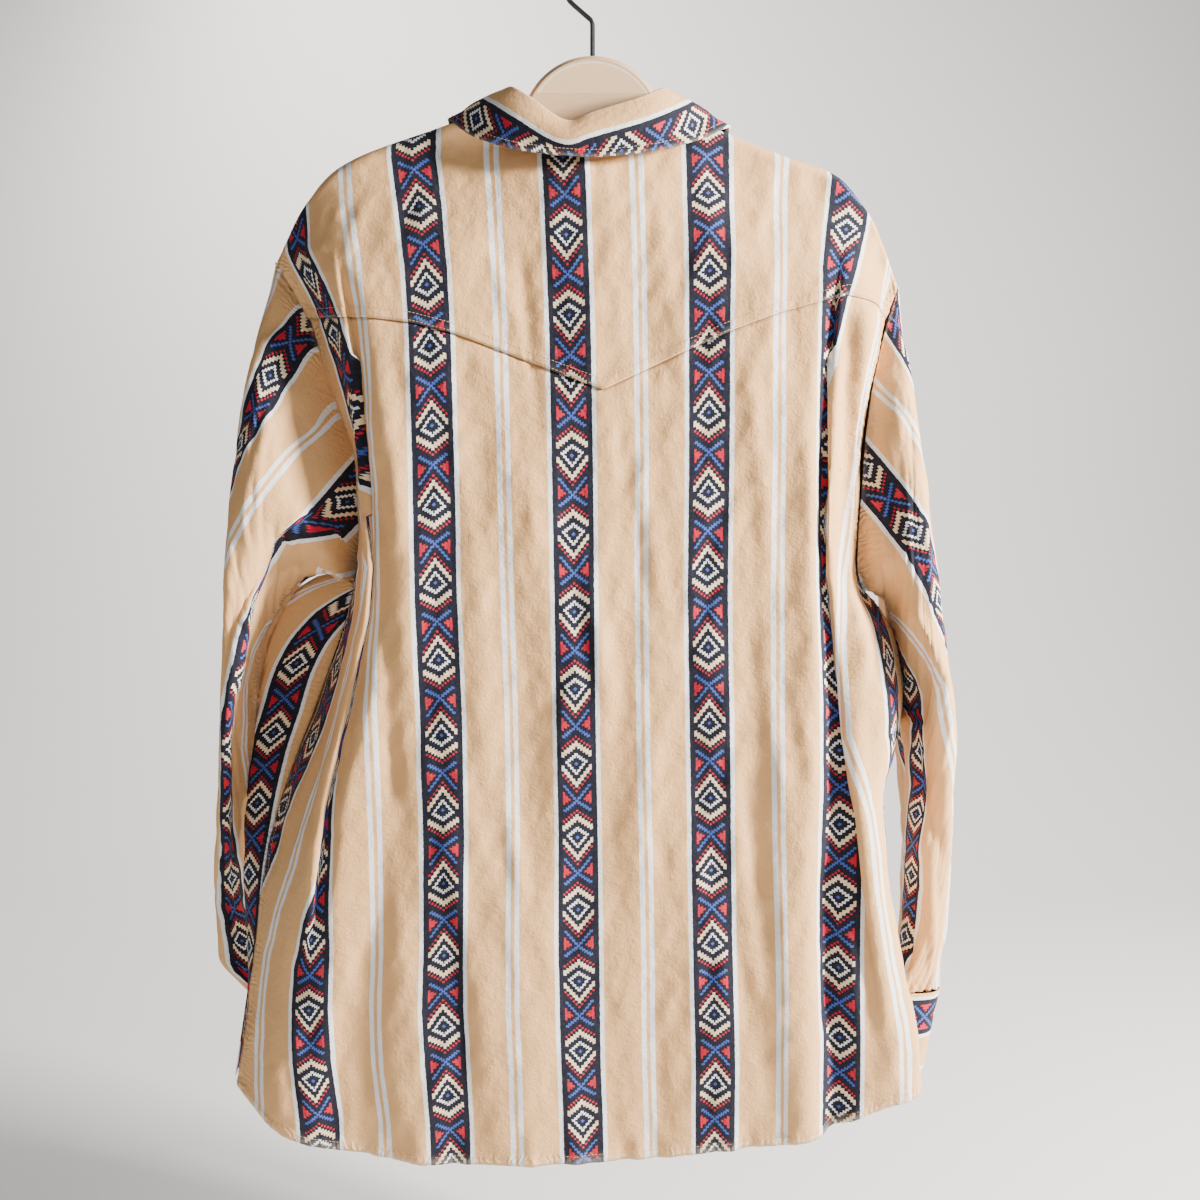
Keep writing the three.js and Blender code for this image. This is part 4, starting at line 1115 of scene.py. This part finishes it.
def sleeve_points(side, turn, v):
    rows = dict(SLEEVES[side])
    rows["place"] = np.arange(len(rows["near"]), dtype=float)
    read = curve(rows, "place")
    place = v * (len(rows["near"]) - 1)
    here = {name: read(name, place) for name in SLEEVES[side]}
    points = sleeve_section(here, turn)
    middle = np.stack([
        (here["crownX"] + here["underX"]) / 2,
        (here["near"] + here["far"]) / 2,
        points[..., 2],
    ], -1)
    out = points - middle
    out /= np.maximum(np.linalg.norm(out, axis=-1, keepdims=True), 1e-9)
    folds = SLEEVE_FOLDS[side]
    for k in range(len(folds["turn0"])):
        turn0, down0, turn1, down1, width, height = (folds[name][k] for name in folds)
        t = (v - down0) / (down1 - down0)
        off = (turn - lerp(turn0, turn1, t)) / width
        rise = ease(t * 3) * ease((1 - t) * 3) * hill(off, 0, 1)
        points = points + out * (height * rise)[..., None]
    first = sleeve_section({name: SLEEVES[side][name][0] for name in SLEEVES[side]}, turn)
    z = first[..., 2]
    deep = np.where(turn > 0.5, side_at[side]("gap", z), 0)
    hole = np.stack([
        side_at[side]("edge", z) + HAND[side] * ARMHOLE_EASE,
        side_at[side]("edgeY", z) + deep,
        z,
    ], -1)
    pull = np.where(place < SLEEVE_BLEND, (1 - np.minimum(place / SLEEVE_BLEND, 1)) ** 2, 0)
    return points + (hole - first) * pull[..., None]


def sleeve_print(side, points, turn):
    """Print on a sleeve: its stripes run on the slant of the hanging cloth, near side and far side."""
    rows = SLEEVE_PRINT[side]
    z = points[..., 2]
    out = HAND[side] * points[..., 0]
    level = np.linspace(z.min(), z.max(), 200)
    order = np.argsort(z[:, 0])
    outline = np.interp(level, z[order, 0], out[order, 0])
    inward = np.maximum(np.interp(z, level, outline) - out, 0)
    slant = np.radians(np.interp(z, rows["z"], rows["slant"]))
    near_y = points[..., 1].min(1, keepdims=True)
    far_y = points[..., 1].max(1, keepdims=True)
    turned = np.where(turn < 0.25, near_y - points[..., 1], np.where(turn > 0.75, far_y - points[..., 1], 0))
    level_across = np.interp(z, rows["z"], rows["roll"]) + turned
    thickness = np.interp(z, z[order, 0], (far_y - near_y)[order, 0])
    level_across += np.where(turn <= 0.5, inward, -thickness - inward)
    _down, arc = measure(points)
    outline_arc = arc[:, int(OUTLINE_TURN * (arc.shape[1] - 1))][:, None]
    face = np.where(turn <= 0.5, 1, -1)
    arc_across = np.where(face > 0, arc, arc - arc[:, -1:]) - outline_arc
    across = lerp(level_across, arc_across, ease((INNER_FROM - z) / 60))
    u = BAND_AT + np.interp(z, rows["z"], rows["edge"]) + across * np.cos(slant)
    return u, -z * 0.97 - face * inward * np.sin(slant)


def sleeve_crease(side, points, turn):
    """The lapped crease across a sleeve's near side: its height, and the print that it hides."""
    rows = SLEEVE_CREASE[side]
    out = HAND[side] * points[..., 0]
    z = points[..., 2]
    nearest = np.full(out.shape, 1e9)
    signed = np.zeros(out.shape)
    hidden = np.zeros(out.shape)
    for k in range(len(rows["x"]) - 1):
        ax = rows["x"][k]
        az = rows["z"][k]
        run = rows["x"][k + 1] - ax
        fall = rows["z"][k + 1] - az
        t = np.clip(((out - ax) * run + (z - az) * fall) / (run ** 2 + fall ** 2), 0, 1)
        distance = np.hypot(out - ax - run * t, z - az - fall * t)
        below = np.sign((out - ax) * fall - (z - az) * run)
        closer = distance < nearest
        nearest = np.where(closer, distance, nearest)
        signed = np.where(closer, below * distance, signed)
        hidden = np.where(closer, lerp(rows["hidden"][k], rows["hidden"][k + 1], t), hidden)
    near = ease((0.52 - turn) / 0.04) * ease((turn - 0.03) / 0.05)
    outline = out.max(1, keepdims=True)
    strength = near * np.clip(hidden / 30, 0, 1) * ease((outline - out - 2) / 16)
    step = ease((signed + 2) / 4)
    settings = zip(CREASE_STEP[side], CREASE_REACH[side])
    above, below = (high * hill(signed, 0, reach) for high, reach in settings)
    return lerp(above, below, step) * strength, hidden * step * (turn <= 0.5)


def build_sleeve(side):
    rows, columns = counts(430, 640, FINE * 0.8)
    v, turn = grid(rows, columns)
    points = sleeve_points(side, turn, v)
    down, arc = measure(points)
    whole = arc[:, -1:]
    from_cuff = down[-1] - down
    hand = -HAND[side]
    lapped, hidden = sleeve_crease(side, points, turn)
    height = crumple(arc, down, 31 + HAND[side]) * ease(down / 30) * ease((whole - arc) / 30) * ease(arc / 30)
    height += pucker(down - 3, arc, 8.0, 0.35, 7)
    height -= 0.5 * hill(down, 0, 1.6)
    gather = hill(from_cuff, 0, 16)
    height += 0.9 * np.sin(arc / whole * 2 * math.pi * 17 + 2 * np.sin(arc / 23)) * gather
    fell = np.abs(turn - 0.5) * whole
    height += 0.45 * ease((5 - fell) / 1.5) + pucker(fell, down, 8.5, 0.3, 7)
    points = displace(points, height + lapped, hand, True)
    u, print_v = sleeve_print(side, points, turn)
    uv = np.stack([u + hidden, print_v], -1)
    wear = 0.5 * hill(fell, 0, 3) + 0.5 * hill(down, 0, 3)
    drawn = hill(down, 0, 14) + 0.8 * hill(fell, 0, 9)
    piece = cloth_piece(f"sleeve_cloth_{side}", points, uv, hand, closed=True,
                        wear=wear, drawn=drawn, gathered=gather)
    lines = [down_columns(points, hand, turn * whole, 0.5 * whole.mean(), np.arange(6, rows - 4, 2), True)]
    strip_rows = 50
    down_v, across_t = grid(strip_rows, 12)
    down_v = lerp(SLIT["down0"], SLIT["down1"], down_v)
    across_t = lerp(SLIT["turn0"], SLIT["turn1"], across_t)
    under = sleeve_points(side, across_t, down_v)
    strip = under + hand * normals_of(under, False) * (SLIT["raise"] + 1.5)
    strip_uv = np.stack([across_t * 200 - 165, -strip[..., 2]], -1)
    patch = cloth_piece(f"slit_placket_{side}", strip, strip_uv, hand, wall=1.2)
    _down, over = measure(strip)
    for wanted in (3.0, over[:, -1].mean() - 3.0):
        lines.append(down_columns(strip, hand, over, wanted, np.arange(0, strip_rows)))
    return piece, patch, lines


def build_cuff(side):
    cuff = CUFFS[side]
    columns = 110
    v, u = grid(34, columns)
    outer = lerp(cuff["outer"][0], cuff["outer"][1], v)
    inner = lerp(cuff["inner"][0], cuff["inner"][1], v)
    girth = math.pi * (np.abs(outer - inner) + cuff["far"] - cuff["near"]) / 2
    angle = -2 * math.pi * (CUFF_START + u * (1 + CUFF_LAP / girth))
    lift = CUFF_RAISE * ease((u - CUFF_LIFT_FROM) / CUFF_LIFT_OVER)
    half_width = (outer - inner) / 2 + HAND[side] * lift
    half_depth = (cuff["far"] - cuff["near"]) / 2 + lift
    points = np.stack([
        (outer + inner) / 2 + half_width * rounded(np.cos(angle)),
        (cuff["near"] + cuff["far"]) / 2 - half_depth * rounded(np.sin(angle)),
        lerp(cuff["top"], cuff["bottom"], v),
    ], -1)
    down, across = measure(points)
    from_end = down[-1] - down
    hand = HAND[side]
    height = 0.35 * ripple(across, down, 4)
    for edge in (down, from_end):
        height -= 0.3 * hill(edge, 6, 0.9)
        height -= 0.35 * hill(edge, 0, 0.8)
    height += pucker(down - 3, across, 7, 0.12, 5) + pucker(from_end - 3, across, 7, 0.12, 5)
    points = displace(points, height, hand)
    uv = np.stack([BAND_AT + down - 22.4, across - 20], -1)
    piece = cloth_piece(f"cuff_cloth_{side}", points, uv, hand, wall=1.3, slot="trim_cloth")
    every = np.arange(0, columns, 2)
    lines = [along_rows(points, hand, down, 5.6, every), along_rows(points, hand, from_end, 5.6, every)]
    return piece, lines


# Collar
collar_at = curve(COLLAR, "angle")


def neck_points(angle):
    x = NECK_HALF * np.sin(np.radians(angle))
    behind = np.abs(angle) <= 90
    z = neck_z(x, behind)
    hang, over = over_shoulder(shoulder("z", x), z)
    deep = np.where(behind, np.abs(middle_at("back", z)), np.abs(middle_at("front", z)))
    return np.stack([x, np.where(behind, -1, 1) * (over + hang * deep), z], -1)


def build_stand():
    v, u = grid(12, 200)
    angle = lerp(-COLLAR_END, COLLAR_END, u)
    neck = neck_points(angle)
    inset = np.where(np.abs(angle) > 90, STAND_INSET, 1)
    neck[..., 0] *= inset
    neck[..., 1] *= inset
    neck[..., 2] += STAND_LIFT
    fold = np.stack([
        collar_at("foldX", angle) * FOLD_INSET[0],
        collar_at("foldY", angle) * FOLD_INSET[1],
        collar_at("foldZ", angle) - FOLD_DROP,
    ], -1)
    points = lerp(neck, fold, v[..., None])
    down, across = measure(points)
    uv = np.stack([20 - down, across], -1)
    return cloth_piece("neck_stand", points, uv, 1, wall=1.2)


def build_collar():
    columns = 300
    v, u = grid(44, columns)
    angle = lerp(-COLLAR_END, COLLAR_END, u)
    fold = np.stack([collar_at(name, angle) for name in ("foldX", "foldY", "foldZ")], -1)
    drop = np.stack([collar_at(name, angle) for name in ("dropX", "dropY", "dropZ")], -1)
    away = np.stack([fold[..., 0], fold[..., 1] * 2, 0 * u], -1)
    out = (drop - fold) * (1, 1, 0) + 0.3 * away
    out /= np.linalg.norm(out, axis=-1, keepdims=True)
    bend = LEAF_ROLL * np.sin(math.pi * np.minimum(v * 1.3, 1))
    points = lerp(fold, drop, v[..., None]) + out * (LEAF_CLEAR + bend)[..., None]
    normal = normals_of(points, False)
    hand = 1 if np.sum(normal * out) > 0 else -1
    down, across = measure(points)
    from_edge = down[-1] - down
    height = 0.5 * ripple(across, down * 1.5, 6) * ease(down / 12)
    height -= 0.3 * hill(from_edge, 6, 0.9) + 0.4 * hill(from_edge, 0, 0.8)
    height += pucker(from_edge - 3, across, 7.5, 0.2, 5)
    points = displace(points, height, hand)
    centre = across[:, columns // 2][:, None]
    uv = np.stack([BAND_AT + down - 37.8, across - centre - 24], -1)
    wear = 0.6 * hill(from_edge, 0, 2) + 0.7 * hill(down, 0, 3)
    piece = cloth_piece("collar_leaf", points, uv, hand, wall=1.3, wear=wear, slot="trim_cloth")
    lines = [along_rows(points, hand, from_edge, 5.5, np.arange(0, columns, 2))]
    return piece, lines


def declare(piece, node):
    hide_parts(node)


threads = []
back, lines = build_back()
declare(back, "back")
threads += lines
yoke, lines = build_yoke_back()
declare(yoke, "yoke_back")
threads += lines
placket, lines = build_placket()
declare(placket, "placket")
threads += lines
for side in ("left", "right"):
    panel, yoke, lines = build_front(side)
    declare(panel, f"front_{side}")
    declare(yoke, f"yoke_front_{side}")
    threads += lines
    sleeve, patch, lines = build_sleeve(side)
    declare(sleeve, f"sleeve_{side}")
    declare(patch, f"sleeve_placket_{side}")
    threads += lines
    cuff, lines = build_cuff(side)
    declare(cuff, f"cuff_{side}")
    threads += lines
stand = build_stand()
declare(stand, "collar_stand")
collar, lines = build_collar()
declare(collar, "collar")
threads += lines
stitches("topstitching", threads)


# Hanger, hook and snaps
DISC_CENTRE_Z = -135
DISC_PANEL = 51
DISC_PANEL_BASE = 27
DISC_GROOVE = 0.8


def wood_material():
    material, tree, shader, body = new_material(
        "lacquered_wood", Roughness=0.42, Coat_Weight=0.25, Coat_Roughness=0.3,
    )
    stretch = tree.nodes.new("ShaderNodeMapping")
    stretch.inputs["Scale"].default_value = (9, 60, 90)
    stretch.inputs["Rotation"].default_value = (0, math.radians(28), 0)
    tree.links.new(body, stretch.inputs["Vector"])
    grain = noise(tree, stretch.outputs[0], 6, 5, 0.6)
    pores = noise(tree, stretch.outputs[0], 30, 3, 0.7)
    ink = mixed(tree, grain * 0.75 + pores * 0.25, colour(228, 196, 158), colour(200, 158, 116))
    x, _y, z = parts_of(tree, body)
    x = x * 1000
    z = z * 1000 - DISC_CENTRE_Z
    radius = (x * x + z * z).root()
    above = z > DISC_PANEL_BASE
    panel = (radius < DISC_PANEL) * above
    groove = (abs(radius - DISC_PANEL) < DISC_GROOVE) * above
    ink = mixed(tree, panel * 0.5, ink, colour(240, 206, 166))
    ink = mixed(tree, groove * 0.8, ink, colour(250, 236, 214))
    tree.links.new(ink, shader.inputs["Base Color"])
    relief = bump(tree, (panel * -0.6) - groove, 1.0, 0.0012)
    tree.links.new(bump(tree, pores, 0.25, 0.0004, relief), shader.inputs["Normal"])
    return material


wood = wood_material()
wire = mottled_material("plated_wire", (118, 118, 124), (70, 70, 76), (220, 3, 0.6), (None, 0.1, 0.0003),
                        Metallic=1.0, Roughness=0.28)
pearl = mottled_material("pearl_cap", (246, 243, 236), (205, 203, 205), (190, 3, 0.6),
                         Roughness=0.18, Coat_Weight=0.6, Coat_Roughness=0.08)
for node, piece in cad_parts.items():
    if node in ("hanger", "hook") or node.startswith("snap"):
        piece.data.materials.clear()
        piece.data.materials.append({"hanger": wood, "hook": wire}.get(node, pearl))


# Floor, light and camera
FLOOR_Z = -1.25
SWEEP_NEAR = -5.0
SWEEP_WALL = 2.6
SWEEP_ROUND = 1.2
SWEEP_HIGH = 5.0
SWEEP_HALF = 7.0
WORLD_LIGHT = 0.25
LENS = 36.09
CAMERA_AT = (0.006, -0.990, -0.4274)
CAMERA_DIP = 4.87


def stage_sweep():
    """A pale floor that turns up into a backdrop behind the shirt, in one smooth sheet."""
    turn = np.linspace(0, math.pi / 2, 25)
    depth = np.r_[SWEEP_NEAR, SWEEP_WALL - SWEEP_ROUND + SWEEP_ROUND * np.sin(turn), SWEEP_WALL]
    height = np.r_[FLOOR_Z, FLOOR_Z + SWEEP_ROUND * (1 - np.cos(turn)), FLOOR_Z + SWEEP_HIGH]
    vertices = [(x, y, z) for y, z in zip(depth, height) for x in (-SWEEP_HALF, SWEEP_HALF)]
    faces = [(2 * k, 2 * k + 1, 2 * k + 3, 2 * k + 2) for k in range(len(depth) - 1)]
    mesh = bpy.data.meshes.new("floor")
    mesh.from_pydata([tuple(map(float, vertex)) for vertex in vertices], [], faces)
    mesh.polygons.foreach_set("use_smooth", [True] * len(mesh.polygons))
    floor = bpy.data.objects.new("floor", mesh)
    bpy.context.collection.objects.link(floor)
    mesh.materials.append(new_material("pale_floor", Base_Color=colour(225, 224, 222), Roughness=0.9)[0])


def area_light(name, place, aim, size, power, tint):
    data = bpy.data.lights.new(name, "AREA")
    data.size = size
    data.energy = power
    data.color = tint
    light = bpy.data.objects.new(name, data)
    light.location = place
    light.rotation_euler = (Vector(aim) - Vector(place)).to_track_quat("-Z", "Y").to_euler()
    bpy.context.collection.objects.link(light)


stage_sweep()
MIDDLE_OF_SHIRT = (0, 0, -0.5)
LIGHTS = {
    "key": ((1.85, -0.62, 0.15), MIDDLE_OF_SHIRT, 0.35, 235, (1.0, 0.97, 0.93)),
    "fill": ((-0.4, -2.1, 0.3), MIDDLE_OF_SHIRT, 1.4, 5, (0.95, 0.97, 1.0)),
    "behind": ((-0.7, 1.5, 0.9), (0, 2.6, -0.4), 1.6, 45, (1.0, 0.98, 0.95)),
}
for name, settings in LIGHTS.items():
    area_light(name, *settings)
world = bpy.data.worlds.new("studio")
bpy.context.scene.world = world
world.use_nodes = True
background = world.node_tree.nodes["Background"]
background.inputs["Color"].default_value = colour(232, 232, 234)
background.inputs["Strength"].default_value = WORLD_LIGHT

camera_data = bpy.data.cameras.new("view")
camera_data.sensor_width = 36
camera_data.lens = LENS
camera = bpy.data.objects.new("view", camera_data)
camera.location = CAMERA_AT
camera.rotation_euler = (math.radians(90 - CAMERA_DIP), 0, 0)
bpy.context.collection.objects.link(camera)
bpy.context.scene.camera = camera
